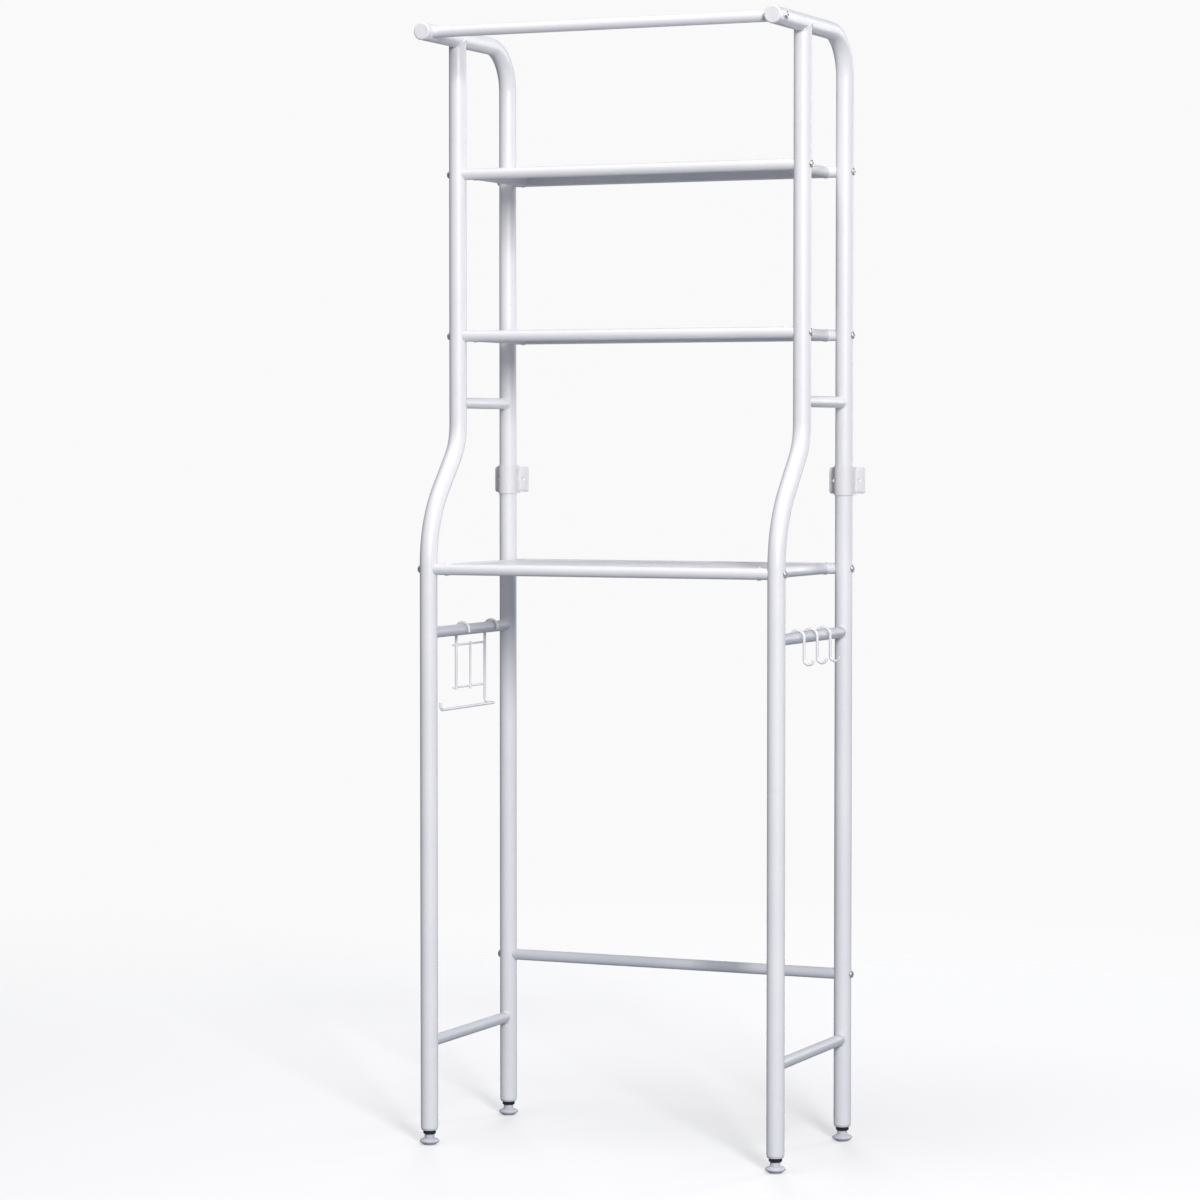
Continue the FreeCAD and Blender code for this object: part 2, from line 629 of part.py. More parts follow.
def glide_pad(name, x, y):
    """Glide pad: small flat underside, wide round rim, cone up to a neck, and the stud's bore."""
    glide = body(name, x, y)
    half = sketch(glide, "half", "XZ_Plane")
    outline(half, [("0", "0"), ("glide_base_dia / 2", "0"),
                   ("glide_dia / 2", "glide_rim_low"), ("glide_dia / 2", "glide_rim_high"),
                   ("glide_neck_dia / 2", "glide_height - glide_neck_height"),
                   ("glide_neck_dia / 2", "glide_height"),
                   ("foot_hole_r", "glide_height"), ("foot_hole_r", "stud_seat"), ("0", "stud_seat")])
    turned = glide.newObject("PartDesign::Revolution", f"{name}_turned")
    turned.Profile = half
    turned.ReferenceAxis = (half, ["V_Axis"])
    turned.Angle = 360
    for rounding, radius, height in (("base", "glide_base_dia / 2", "0"),
                                     ("rim_low", "glide_dia / 2", "glide_rim_low"),
                                     ("rim_high", "glide_dia / 2", "glide_rim_high")):
        round_edges(glide, rounding, "glide_edge_radius", ring_edge(radius, height))
    return glide


foot_places = []
for side, side_place in SIDES.items():
    nodes.append(arm_end_cap(f"arm_end_cap_{side}", side_place))
    for end, end_place in (("front", "rear_y - lower_depth"), ("rear", "rear_y")):
        foot = f"{end}_{side}"
        nodes.append(foot_plug(f"{foot}_foot_plug", side_place, end_place))
        nodes.append(foot_stud(f"{foot}_foot_stud", side_place, end_place))
        nodes.append(glide_pad(f"{foot}_foot_glide", side_place, end_place))
        nut_bottom = size("tube_end_height - foot_flange - nut_height")
        at = FreeCAD.Vector(size(side_place), size(end_place), nut_bottom)
        foot_places.append(FreeCAD.Placement(at, FreeCAD.Rotation()))
group("foot_lock_nuts", nut_master, foot_places)

# ---------------------------------------------------------------------------------------------
# Wall anchors
# ---------------------------------------------------------------------------------------------

def wall_plate(name, x):
    """Plate between a rear upright and the wall, with a screw hole on each side of the tube."""
    plate = body(name, x, "rear_y + tube_r", "anchor_height")
    face = sketch(plate, "face", "XZ_Plane")
    box_outline(face, "-plate_width / 2", "plate_width / 2", "-plate_height / 2", "plate_height / 2")
    pad(plate, "plate_pad", face, "plate_thickness", backwards=True)
    holes = sketch(plate, "holes", "XZ_Plane")
    for hole_x in ("-plate_screw_spacing / 2", "plate_screw_spacing / 2"):
        circle(holes, hole_x, "0", "plate_screw_hole / 2")
    pocket(plate, "holes_cut", holes, "plate_thickness * 3", symmetric=True)
    thick = size("plate_thickness")

    def corner(edge):
        box = edge.BoundBox
        return box.YLength > thick - 0.01 and box.XLength < 0.01 and box.ZLength < 0.01
    round_edges(plate, "corners", "plate_corner_radius", corner)
    return plate


def tube_clip(name, x):
    """Folded clip round the front of a rear upright, its two ears screwed down with the plate."""
    clip = body(name, x, "rear_y", "anchor_height - clip_height / 2")
    outer = "(tube_r + clip_gap + clip_sheet)"
    inner = "(tube_r + clip_gap)"
    round_part = sketch(clip, "round", "XY_Plane")
    circle(round_part, "0", "0", outer)
    pad(clip, "round_pad", round_part, "clip_height")
    back = sketch(clip, "back", "XY_Plane")
    box_outline(back, f"-{outer}", outer, "0", "tube_r - clip_gap")
    pad(clip, "back_pad", back, "clip_height")
    ears = sketch(clip, "ears", "XY_Plane", "(clip_height - ear_height) / 2")
    ear_reach = "(plate_width / 2 - clip_inset)"
    box_outline(ears, f"-{ear_reach}", ear_reach, "tube_r - clip_gap - clip_sheet", "tube_r - clip_gap")
    pad(clip, "ears_pad", ears, "ear_height")
    bore = sketch(clip, "bore", "XY_Plane")
    circle(bore, "0", "0", inner)
    pocket(clip, "bore_cut", bore, "clip_height", backwards=True)
    mouth = sketch(clip, "mouth", "XY_Plane")
    box_outline(mouth, f"-{inner}", inner, "0", "tube_r * 2")
    pocket(clip, "mouth_cut", mouth, "clip_height", backwards=True)
    holes = sketch(clip, "holes", "XZ_Plane")
    for hole_x in ("-plate_screw_spacing / 2", "plate_screw_spacing / 2"):
        circle(holes, hole_x, "clip_height / 2", "plate_screw_hole / 2")
    pocket(clip, "holes_cut", holes, "tube_dia * 3", symmetric=True)
    return clip


for side, side_place in SIDES.items():
    nodes.append(wall_plate(f"wall_plate_{side}", side_place))
    nodes.append(tube_clip(f"tube_clip_{side}", side_place))

# ---------------------------------------------------------------------------------------------
# S-hooks and paper holder: bent wire that hangs on the hook rungs
# ---------------------------------------------------------------------------------------------

def s_hook(name, y):
    """S-hook: half round the rung, a straight shank, and a smaller curve below that opens outwards."""
    hook = body(name, "half_width", y, "hook_rung_height")
    path = sketch(hook, "path", "XZ_Plane")
    upper_r, lower_r, drop = size("ring_r"), size("hook_lower_radius"), size("hook_drop")
    normal = FreeCAD.Vector(0, 0, 1)
    origin = FreeCAD.Vector(0, 0, 0)
    shank_top = FreeCAD.Vector(upper_r, 0, 0)
    shank_end = FreeCAD.Vector(upper_r, -drop, 0)
    low_centre = FreeCAD.Vector(upper_r + lower_r, -drop, 0)
    upper = Part.ArcOfCircle(Part.Circle(origin, normal, upper_r), 0, math.pi)
    lower = Part.ArcOfCircle(Part.Circle(low_centre, normal, lower_r), math.pi, 2 * math.pi)
    path.addGeometry(upper, False)
    path.addGeometry(Part.LineSegment(shank_top, shank_end), False)
    path.addGeometry(lower, False)
    constrain(path, "Coincident", (0, CENTRE, *ORIGIN))
    constrain(path, "Radius", (0,), "ring_r")
    constrain(path, "Radius", (2,), "hook_lower_radius")
    constrain(path, "DistanceY", (2, CENTRE, *ORIGIN), "hook_drop")
    constrain(path, "Vertical", (1,))
    constrain(path, "PointOnObject", (0, END, -1))
    constrain(path, "Horizontal", (2, CENTRE, 2, END))
    constrain(path, "Tangent", (0, START, 1, START))
    constrain(path, "Tangent", (1, END, 2, START))
    section = sketch(hook, "section", "XY_Plane")
    circle(section, "-ring_r", "0", "hook_wire / 2")
    pipe(hook, "wire", section, path)
    wire_r = size("hook_wire / 2")

    def wire_end(edge):
        return isinstance(edge.Curve, Part.Circle) and abs(edge.Curve.Radius - wire_r) < 0.01
    round_edges(hook, "ends", "wire_end_radius", wire_end)
    return hook


def rounded_path(points, radius):
    """Wire of straight runs through the points, with a tangent arc of this radius at each corner."""
    edges = []
    here = points[0]
    for before, corner, after in zip(points, points[1:], points[2:]):
        back = (before - corner).normalize()
        ahead = (after - corner).normalize()
        opening = back.getAngle(ahead)
        setback = radius / math.tan(opening / 2)
        start = corner + back * setback
        end = corner + ahead * setback
        middle_way = (back + ahead).normalize()
        middle = corner + middle_way * (radius / math.sin(opening / 2) - radius)
        edges.append(Part.LineSegment(here, start).toShape())
        edges.append(Part.Arc(start, middle, end).toShape())
        here = end
    edges.append(Part.LineSegment(here, points[-1]).toShape())
    return edges


def bent_wire(name, edges, wire_r):
    """Round wire swept along a path of edges, placed at the middle of the paper holder."""
    path = Part.Wire(edges)
    start = edges[0].Vertexes[0].Point
    direction = edges[0].tangentAt(edges[0].FirstParameter)
    section = Part.Wire(Part.makeCircle(wire_r, start, direction))
    new = doc.addObject("Part::Feature", name)
    new.Label = name
    new.Shape = path.makePipeShell([section], True, True)
    print(f"{name}: {path.Length:.1f} mm of wire, volume {new.Shape.Volume:.0f},"
          f" section times length {math.pi * wire_r ** 2 * path.Length:.0f}")
    return new


def over_rung(y, ring_r, tip_drop):
    """Edges that start at a wire's tip inside the rung and go up and over it to the outside."""
    tip = FreeCAD.Vector(ring_r, y, -tip_drop)
    inside = FreeCAD.Vector(ring_r, y, 0)
    top = FreeCAD.Vector(0, y, ring_r)
    outside = FreeCAD.Vector(-ring_r, y, 0)
    return [Part.LineSegment(tip, inside).toShape(), Part.Arc(inside, top, outside).toShape()], outside


def paper_holder():
    """Wire frame that hangs on the left hook rung and carries one paper roll on its arm."""
    ring_r = size("holder_ring_r")
    main_r, cross_r = size("holder_wire / 2"), size("cross_wire / 2")
    half_span = size("holder_span / 2")
    upper, lower = -size("holder_upper_drop"), -size("holder_lower_drop")
    arm_z = -size("holder_arm_drop")
    arm_x = size("holder_arm_inset")
    tip_drop = size("holder_hook_drop")
    bend = size("holder_bend_radius")
    overhang = size("wire_overhang")
    pieces = []
    front, outside = over_rung(-half_span, ring_r, tip_drop)
    bottom = FreeCAD.Vector(-ring_r, -half_span, lower - overhang)
    front.append(Part.LineSegment(outside, bottom).toShape())
    pieces.append(bent_wire("paper_holder_front_wire", front, main_r))
    rear, outside = over_rung(half_span, ring_r, tip_drop)
    tip_y = size("holder_centre - lower_depth + tube_r + holder_tip_gap")
    rear += rounded_path([outside,
                          FreeCAD.Vector(-ring_r, half_span, arm_z),
                          FreeCAD.Vector(arm_x, half_span, arm_z),
                          FreeCAD.Vector(arm_x, tip_y, arm_z),
                          FreeCAD.Vector(arm_x, tip_y, arm_z + size("holder_tip"))], bend)
    pieces.append(bent_wire("paper_holder_arm_wire", rear, main_r))
    cross_x = -ring_r - main_r - cross_r
    for name, cross_z in (("upper", upper), ("lower", lower)):
        run = Part.LineSegment(FreeCAD.Vector(cross_x, -half_span - overhang, cross_z),
                               FreeCAD.Vector(cross_x, half_span + overhang, cross_z)).toShape()
        pieces.append(bent_wire(f"paper_holder_{name}_cross_wire", [run], cross_r))
    middle_x = cross_x + 2 * cross_r
    run = Part.LineSegment(FreeCAD.Vector(middle_x, 0, upper + overhang),
                           FreeCAD.Vector(middle_x, 0, lower - overhang)).toShape()
    pieces.append(bent_wire("paper_holder_middle_wire", [run], cross_r))
    return pieces


for name, step in (("front", -1), ("middle", 0), ("rear", 1)):
    hook = s_hook(f"s_hook_{name}", f"rear_y - hook_centre + {step} * hook_spacing")
    nodes.append(hook)

holder_at = FreeCAD.Vector(-size("half_width"), size("rear_y - holder_centre"), size("hook_rung_height"))
for piece in paper_holder():
    piece.Placement = FreeCAD.Placement(holder_at, FreeCAD.Rotation())
    nodes.append(piece)

# ---------------------------------------------------------------------------------------------
# Check every piece and write it
# ---------------------------------------------------------------------------------------------

doc.recompute()
faults = []
for thing in doc.Objects:
    if "Invalid" in thing.State or "Error" in thing.State:
        faults.append(f"{thing.Name} {thing.State}")
for node in nodes:
    if node.Shape.isNull() or not node.Shape.isValid() or not node.Shape.Solids:
        faults.append(f"{node.Label} has no valid solid")
if faults:
    raise RuntimeError("; ".join(faults))

os.makedirs("parts", exist_ok=True)
for node in nodes:
    node.Shape.exportStep(f"parts/{node.Label}.step")
box = FreeCAD.BoundBox()
for node in nodes:
    box.add(node.Shape.BoundBox)
print(f"{len(nodes)} nodes, box {box.XMin:.2f} {box.YMin:.2f} {box.ZMin:.2f}"
      f" to {box.XMax:.2f} {box.YMax:.2f} {box.ZMax:.2f}")
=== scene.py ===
# %% [markdown] # A white bathroom rack of welded tube  This rack stands over a toilet: two side
# frames of round steel tube, three shelves bolted between them, a towel bar, levelling feet, wall
# anchors, hooks and a paper holder. The engineering model gives every tube, bolt and joint its
# true size. This lesson adds what a shop floor and a paint line add: weld beads, threads, moulded
# plastic, bent wire with melted spots, and white powder coat.

# %% Load the frame
import json
import math

import bmesh
import bpy
from mathutils import Matrix, Vector


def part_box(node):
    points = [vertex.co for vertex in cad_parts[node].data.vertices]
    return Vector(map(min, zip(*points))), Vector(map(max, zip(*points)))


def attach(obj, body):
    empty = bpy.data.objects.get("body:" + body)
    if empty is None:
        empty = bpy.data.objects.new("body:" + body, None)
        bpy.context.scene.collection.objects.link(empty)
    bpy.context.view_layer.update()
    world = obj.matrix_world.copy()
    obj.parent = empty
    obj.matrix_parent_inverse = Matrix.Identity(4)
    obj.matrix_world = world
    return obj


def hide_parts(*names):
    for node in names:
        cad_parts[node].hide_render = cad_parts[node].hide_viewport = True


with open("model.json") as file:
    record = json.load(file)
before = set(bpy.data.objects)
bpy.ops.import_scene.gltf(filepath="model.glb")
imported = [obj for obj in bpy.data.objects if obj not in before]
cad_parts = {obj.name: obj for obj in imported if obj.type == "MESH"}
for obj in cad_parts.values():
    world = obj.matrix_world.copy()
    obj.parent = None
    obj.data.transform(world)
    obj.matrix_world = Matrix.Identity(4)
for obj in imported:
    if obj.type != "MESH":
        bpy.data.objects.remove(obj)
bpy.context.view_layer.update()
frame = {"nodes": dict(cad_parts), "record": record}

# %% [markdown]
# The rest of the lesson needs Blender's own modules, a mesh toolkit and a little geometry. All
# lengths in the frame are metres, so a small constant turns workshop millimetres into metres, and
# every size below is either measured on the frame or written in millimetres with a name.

MM = 0.001
UP = Vector((0, 0, 1))
ALONG_X = Vector((1, 0, 0))
ALONG_Y = Vector((0, 1, 0))
FULL_TURN = 2 * math.pi

# %% [markdown]
# The main sizes are read off the frame. A straight tube's box gives its radius, and an upright's
# box gives the line that it stands on. Measuring instead of typing means that the details below
# still fit if the engineer changes a tube.

# %% Measure the frame


def middle(node):
    """Middle of a node's box."""
    low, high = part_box(node)
    return (low + high) / 2


def half_size(node, axis):
    """Half of a node's size along one axis."""
    low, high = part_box(node)
    return (high[axis] - low[axis]) / 2


SIDES = ("left", "right")
TUBE_R = half_size("rear_upright_left", 0)
BAR_R = half_size("towel_bar", 2)
REAR_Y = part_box("rear_crossbar")[1].y - BAR_R
FRONT_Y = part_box("front_upright_left")[0].y + TUBE_R
ARM_Z = middle("towel_bar").z
SIDE_X = {side: middle(f"rear_upright_{side}").x for side in SIDES}
print(f"upright radius {TUBE_R / MM:.2f} mm, bar radius {BAR_R / MM:.2f} mm, "
      f"arm height {ARM_Z:.3f} m")

# %% [markdown]
# ## Stage, camera and light
#
# A white object on a white ground only shows by its shading. The floor is a pale disc whose edge
# fades out, so no horizon line shows from any side. The fade is a mix with a transparent shader
# that follows the distance from the middle, and a part of it stays on everywhere, which keeps the
# shadows light. The camera sees the floor nearly white, while the light that it throws
# back up is that of a greyer one, so that the tubes keep dark edges.

# %% Pale floor
FLOOR_RADIUS = 3.4
FLOOR_SEGMENTS = 96
FLOOR_ROUGHNESS = 0.9
FLOOR_GLOSS = 0.1
FADE_START = 0.7
FADE_END = 3.2
FLOOR_VEIL = 0.45
FLOOR_COLOUR = (0.95, 0.95, 0.955, 1)
FLOOR_BOUNCE = (0.33, 0.38, 0.44, 1)


def floor_material():
    """Matt pale floor that fades to nothing towards its edge."""
    material = bpy.data.materials.new("studio_floor")
    material.use_nodes = True
    nodes, links = material.node_tree.nodes, material.node_tree.links
    shader = nodes["Principled BSDF"]
    tone = nodes.new("ShaderNodeMix")
    tone.data_type = "RGBA"
    tone.inputs["A"].default_value = FLOOR_BOUNCE
    tone.inputs["B"].default_value = FLOOR_COLOUR
    links.new(nodes.new("ShaderNodeLightPath").outputs["Is Camera Ray"], tone.inputs["Factor"])
    links.new(tone.outputs["Result"], shader.inputs["Base Color"])
    shader.inputs["Roughness"].default_value = FLOOR_ROUGHNESS
    shader.inputs["Specular IOR Level"].default_value = FLOOR_GLOSS
    coordinates = nodes.new("ShaderNodeTexCoord")
    distance = nodes.new("ShaderNodeVectorMath")
    distance.operation = "LENGTH"
    fade = nodes.new("ShaderNodeMapRange")
    fade.interpolation_type = "SMOOTHSTEP"
    fade.inputs["From Min"].default_value = FADE_START
    fade.inputs["From Max"].default_value = FADE_END
    fade.inputs["To Min"].default_value = FLOOR_VEIL
    clear = nodes.new("ShaderNodeBsdfTransparent")
    mix = nodes.new("ShaderNodeMixShader")
    links.new(coordinates.outputs["Object"], distance.inputs[0])
    links.new(distance.outputs["Value"], fade.inputs["Value"])
    links.new(fade.outputs["Result"], mix.inputs["Fac"])
    links.new(shader.outputs["BSDF"], mix.inputs[1])
    links.new(clear.outputs["BSDF"], mix.inputs[2])
    links.new(mix.outputs["Shader"], nodes["Material Output"].inputs["Surface"])
    return material


disc = bmesh.new()
bmesh.ops.create_circle(disc, cap_ends=True, segments=FLOOR_SEGMENTS, radius=FLOOR_RADIUS)
floor_mesh = bpy.data.meshes.new("floor")
disc.to_mesh(floor_mesh)
disc.free()
floor_mesh.materials.append(floor_material())
floor = bpy.data.objects.new("floor", floor_mesh)
bpy.context.scene.collection.objects.link(floor)
print("floor radius", FLOOR_RADIUS, "m")

# %% [markdown]
# The camera stands to the right of the rack, a little above its middle and a long way back, with a
# long lens. From far away the four uprights look nearly parallel, and the long lens brings them
# close again. The camera's place is given by the point that it looks at, a distance and two angles.

# %% Camera
LOOK_AT = Vector((-0.0563, 0.0, 0.7806))
CAMERA_DISTANCE = 5.478
CAMERA_AZIMUTH = math.radians(23.86)
CAMERA_DROP = math.radians(2.35)
LENS_MM = 114.4
SENSOR_MM = 36.0
SEE_AS_FAR_AS = 60

camera_data = bpy.data.cameras.new("camera")
camera_data.lens = LENS_MM
camera_data.sensor_width = SENSOR_MM
camera_data.clip_end = SEE_AS_FAR_AS
camera = bpy.data.objects.new("camera", camera_data)
backwards = Vector((math.sin(CAMERA_AZIMUTH) * math.cos(CAMERA_DROP),
                    -math.cos(CAMERA_AZIMUTH) * math.cos(CAMERA_DROP),
                    math.sin(CAMERA_DROP)))
camera.location = LOOK_AT + backwards * CAMERA_DISTANCE
camera.rotation_euler = (math.radians(90) - CAMERA_DROP, 0, CAMERA_AZIMUTH)
bpy.context.scene.collection.objects.link(camera)
bpy.context.scene.camera = camera
print("camera at", tuple(round(value, 3) for value in camera.location))

# %% [markdown]
# White tube needs a lit middle and darker edges, or it turns into a flat stripe. The sky that
# lights the rack is therefore a mid grey, darker on the left than on the right, and the lamps draw
# the bright line down each tube. What the camera sees of the sky stays an even pale tone: the two
# are mixed by whether a ray comes from the camera.

# %% Sky
SKY_SHOWN = (0.95, 0.95, 0.955, 1)
SKY_DARK_SIDE = (0.17, 0.17, 0.19, 1)
SKY_BRIGHT_SIDE = (0.37, 0.37, 0.41, 1)
SKY_SHOWN_STRENGTH = 1.0
SKY_LIGHT_STRENGTH = 0.72
SKY_DARKEST_AT = -1.0
SKY_BRIGHTEST_AT = 0.9

world = bpy.data.worlds.new("studio_sky")
world.use_nodes = True
bpy.context.scene.world = world
bpy.context.scene.view_settings.view_transform = "Standard"
sky_nodes, sky_links = world.node_tree.nodes, world.node_tree.links
shown = sky_nodes["Background"]
shown.inputs["Color"].default_value = SKY_SHOWN
shown.inputs["Strength"].default_value = SKY_SHOWN_STRENGTH
lighting = sky_nodes.new("ShaderNodeBackground")
lighting.inputs["Strength"].default_value = SKY_LIGHT_STRENGTH
direction = sky_nodes.new("ShaderNodeTexCoord")
split = sky_nodes.new("ShaderNodeSeparateXYZ")
sideways = sky_nodes.new("ShaderNodeMapRange")
sideways.inputs["From Min"].default_value = SKY_DARKEST_AT
sideways.inputs["From Max"].default_value = SKY_BRIGHTEST_AT
tones = sky_nodes.new("ShaderNodeMix")
tones.data_type = "RGBA"
tones.inputs["A"].default_value = SKY_DARK_SIDE
tones.inputs["B"].default_value = SKY_BRIGHT_SIDE
ray = sky_nodes.new("ShaderNodeLightPath")
sky_mix = sky_nodes.new("ShaderNodeMixShader")
sky_links.new(direction.outputs["Generated"], split.inputs["Vector"])
sky_links.new(split.outputs["X"], sideways.inputs["Value"])
sky_links.new(sideways.outputs["Result"], tones.inputs["Factor"])
sky_links.new(tones.outputs["Result"], lighting.inputs["Color"])
sky_links.new(ray.outputs["Is Camera Ray"], sky_mix.inputs["Fac"])
sky_links.new(lighting.outputs["Background"], sky_mix.inputs[1])
sky_links.new(shown.outputs["Background"], sky_mix.inputs[2])
sky_links.new(sky_mix.outputs["Shader"], sky_nodes["World Output"].inputs["Surface"])
print("sky light", SKY_LIGHT_STRENGTH, "sky as seen", SKY_SHOWN_STRENGTH)

# %% [markdown]
# Four soft lamps do the rest: a tall key at the front right, a high lamp that lights the floor and
# the tops of rungs and shelves, a cool rim lamp behind on the right, and a fill behind on the left,
# straight opposite the camera, which lights the back of the rack and hardly touches the front. That
# fill is kept out of reflections, or it would glare off the tops of the shelves. Big lamps give
# broad highlights along a tube, which is what satin powder coat shows. Each row below is a name, a
# place, the point that the lamp faces, width and height in metres, watts, and a colour.

# %% Soft lamps
NOT_REFLECTED = "rear_fill"
LAMPS = (
    ("key", (3.0, -4.0, 2.9), (0.0, 0.0, 1.3), (0.9, 2.2), 250.0, (1.0, 0.995, 0.99)),
    ("high", (-0.4, -0.8, 4.2), (0.0, 0.0, 0.8), (2.0, 2.0), 56.0, (1.0, 1.0, 1.0)),
    ("rear_rim", (1.6, 3.2, 1.8), (0.1, 0.0, 0.9), (1.0, 2.4), 30.0, (0.97, 0.98, 1.0)),
    ("rear_fill", (-1.7, 3.6, 2.1), (0.0, 0.0, 0.9), (1.4, 2.4), 70.0, (0.98, 0.99, 1.0)),
)
for lamp_name, place, target, lamp_size, power, colour in LAMPS:
    lamp_data = bpy.data.lights.new(lamp_name, "AREA")
    lamp_data.shape = "RECTANGLE"
    lamp_data.size, lamp_data.size_y = lamp_size
    lamp_data.energy = power
    lamp_data.color = colour
    lamp = bpy.data.objects.new(lamp_name, lamp_data)
    lamp.location = place
    aim = Vector(target) - Vector(place)
    lamp.rotation_euler = aim.to_track_quat("-Z", "Y").to_euler()
    lamp.visible_glossy = lamp_name != NOT_REFLECTED
    bpy.context.scene.collection.objects.link(lamp)
    print("lamp", lamp_name, power, "W")

# %% [markdown]
# ## Finishes
#
# Every finish is a node material that reads Object coordinates. A finished piece sits at the
# origin, so those coordinates are true metres and a noise scale of 800 means lumps a little over a
# millimetre apart. A small kit keeps each recipe short: two textures, a value range, a blend of two
# colours, one arithmetic step, and a stack of bumps. Wear and drift on real coats are soft, so most
# patterns below keep only the middle of their range.

# %% Node kit
DRIFT_LOW, DRIFT_HIGH = 0.35, 0.65
SHEEN_LOW, SHEEN_HIGH = 0.3, 0.7


class Recipe:
    """A principled material with short helpers for the textures that feed it."""

    def __init__(self, name):
        self.material = bpy.data.materials.new(name)
        self.material.use_nodes = True
        self.nodes = self.material.node_tree.nodes
        self.links = self.material.node_tree.links
        self.shader = self.nodes["Principled BSDF"]
        self.place = self.nodes.new("ShaderNodeTexCoord").outputs["Object"]

    def set(self, **values):
        """Constant values, set straight on the shader's sockets."""
        for name, value in values.items():
            self.shader.inputs[name.replace("_", " ")].default_value = value

    def stretched(self, scale):
        """Object coordinates with their own scale on each axis."""
        mapping = self.nodes.new("ShaderNodeMapping")
        mapping.inputs["Scale"].default_value = scale
        self.links.new(self.place, mapping.inputs["Vector"])
        return mapping.outputs["Vector"]

    def noise(self, scale, detail=2.0, roughness=0.5, vector=None):
        """Soft cloudy pattern from 0 to 1."""
        texture = self.nodes.new("ShaderNodeTexNoise")
        texture.inputs["Scale"].default_value = scale
        texture.inputs["Detail"].default_value = detail
        texture.inputs["Roughness"].default_value = roughness
        self.links.new(vector or self.place, texture.inputs["Vector"])
        return texture.outputs["Fac"]

    def cells(self, scale, feature="F1"):
        """Distance to scattered points: specks when it is cut off low, pebbles when it is not."""
        texture = self.nodes.new("ShaderNodeTexVoronoi")
        texture.feature = feature
        texture.inputs["Scale"].default_value = scale
        self.links.new(self.place, texture.inputs["Vector"])
        return texture.outputs["Distance"]

    def span(self, value, low, high, to_low=0.0, to_high=1.0):
        """Stretch part of a value's range over a new range, with clamped ends."""
        node = self.nodes.new("ShaderNodeMapRange")
        ends = {"From Min": low, "From Max": high, "To Min": to_low, "To Max": to_high}
        for name, number in ends.items():
            node.inputs[name].default_value = number
        self.links.new(value, node.inputs["Value"])
        return node.outputs["Result"]

    def math(self, operation, first, second):
        """One arithmetic step; the second value may be a plain number."""
        node = self.nodes.new("ShaderNodeMath")
        node.operation = operation
        self.links.new(first, node.inputs[0])
        if isinstance(second, (int, float)):
            node.inputs[1].default_value = second
        else:
            self.links.new(second, node.inputs[1])
        return node.outputs["Value"]

    def blend(self, factor, first, second):
        """Colour between two; each may be a tuple or another node's output."""
        node = self.nodes.new("ShaderNodeMix")
        node.data_type = "RGBA"
        self.links.new(factor, node.inputs["Factor"])
        for name, colour in (("A", first), ("B", second)):
            if isinstance(colour, tuple):
                node.inputs[name].default_value = (*colour, 1.0)
            else:
                self.links.new(colour, node.inputs[name])
        return node.outputs["Result"]

    def height(self):
        """Height above the floor in metres, from the Object coordinates."""
        node = self.nodes.new("ShaderNodeSeparateXYZ")
        self.links.new(self.place, node.inputs["Vector"])
        return node.outputs["Z"]

    def drift(self, scale, detail):
        """Slow clouds with their middle stretched, for a colour that wanders."""
        return self.span(self.noise(scale, detail), DRIFT_LOW, DRIFT_HIGH)

    def feed(self, socket, value):
        """Send a pattern to one of the shader's sockets."""
        self.links.new(value, self.shader.inputs[socket])

    def roughness(self, pattern, smooth, rough):
        """Roughness that follows a pattern between two values."""
        self.feed("Roughness", self.span(pattern, SHEEN_LOW, SHEEN_HIGH, smooth, rough))

    def bumps(self, *layers):
        """Stack bump layers, each a height pattern and the depth of its relief in metres."""
        normal = None
        for height, depth in layers:
            node = self.nodes.new("ShaderNodeBump")
            node.inputs["Distance"].default_value = depth
            self.links.new(height, node.inputs["Height"])
            if normal is not None:
                self.links.new(normal, node.inputs["Normal"])
            normal = node.outputs["Normal"]
        self.links.new(normal, self.shader.inputs["Normal"])


print("node kit:", [name for name in vars(Recipe) if not name.startswith("_")])

# %% [markdown]
# White powder coat is baked plastic powder. Close up it has an orange-peel skin: soft lumps one to
# two millimetres wide and a few hundredths deep, with a finer grain on top. Its white drifts very
# slightly, and a few tiny dark specks are dust that was baked in. The same recipe dresses tubes,
# sheet and anchors, with more or less peel. The rungs that carry hooks and holder get a lilac grey
# that is painted shade, with a rougher skin where things hang and rub, and the low bars near the
# floor get a cool grey that is painted shade with a painted bluish reflection.

# %% Powder coat
PEEL_SCALE = 620.0
GRAIN_SCALE = 2600.0
GRAIN_SHARE = 0.22
CLOUD_SCALE = 9.0
MOTTLE_SCALE, MOTTLE_LOW, MOTTLE_HIGH, MOTTLE_SHARE = 140.0, 0.55, 0.75, 0.35
MOTTLE_TONE = 0.93
SPECK_SCALE, SPECK_CORE, SPECK_EDGE = 210.0, 0.045, 0.075
SPECK_RELIEF = 0.04 * MM
RARE_SCALE, RARE_LOW, RARE_HIGH = 38.0, 0.66, 0.68
RUBBED_SCALE, RUBBED_SMOOTHER, RUBBED_ROUGHER = 60.0, 0.05, 0.07
DUST = (0.34, 0.33, 0.32)


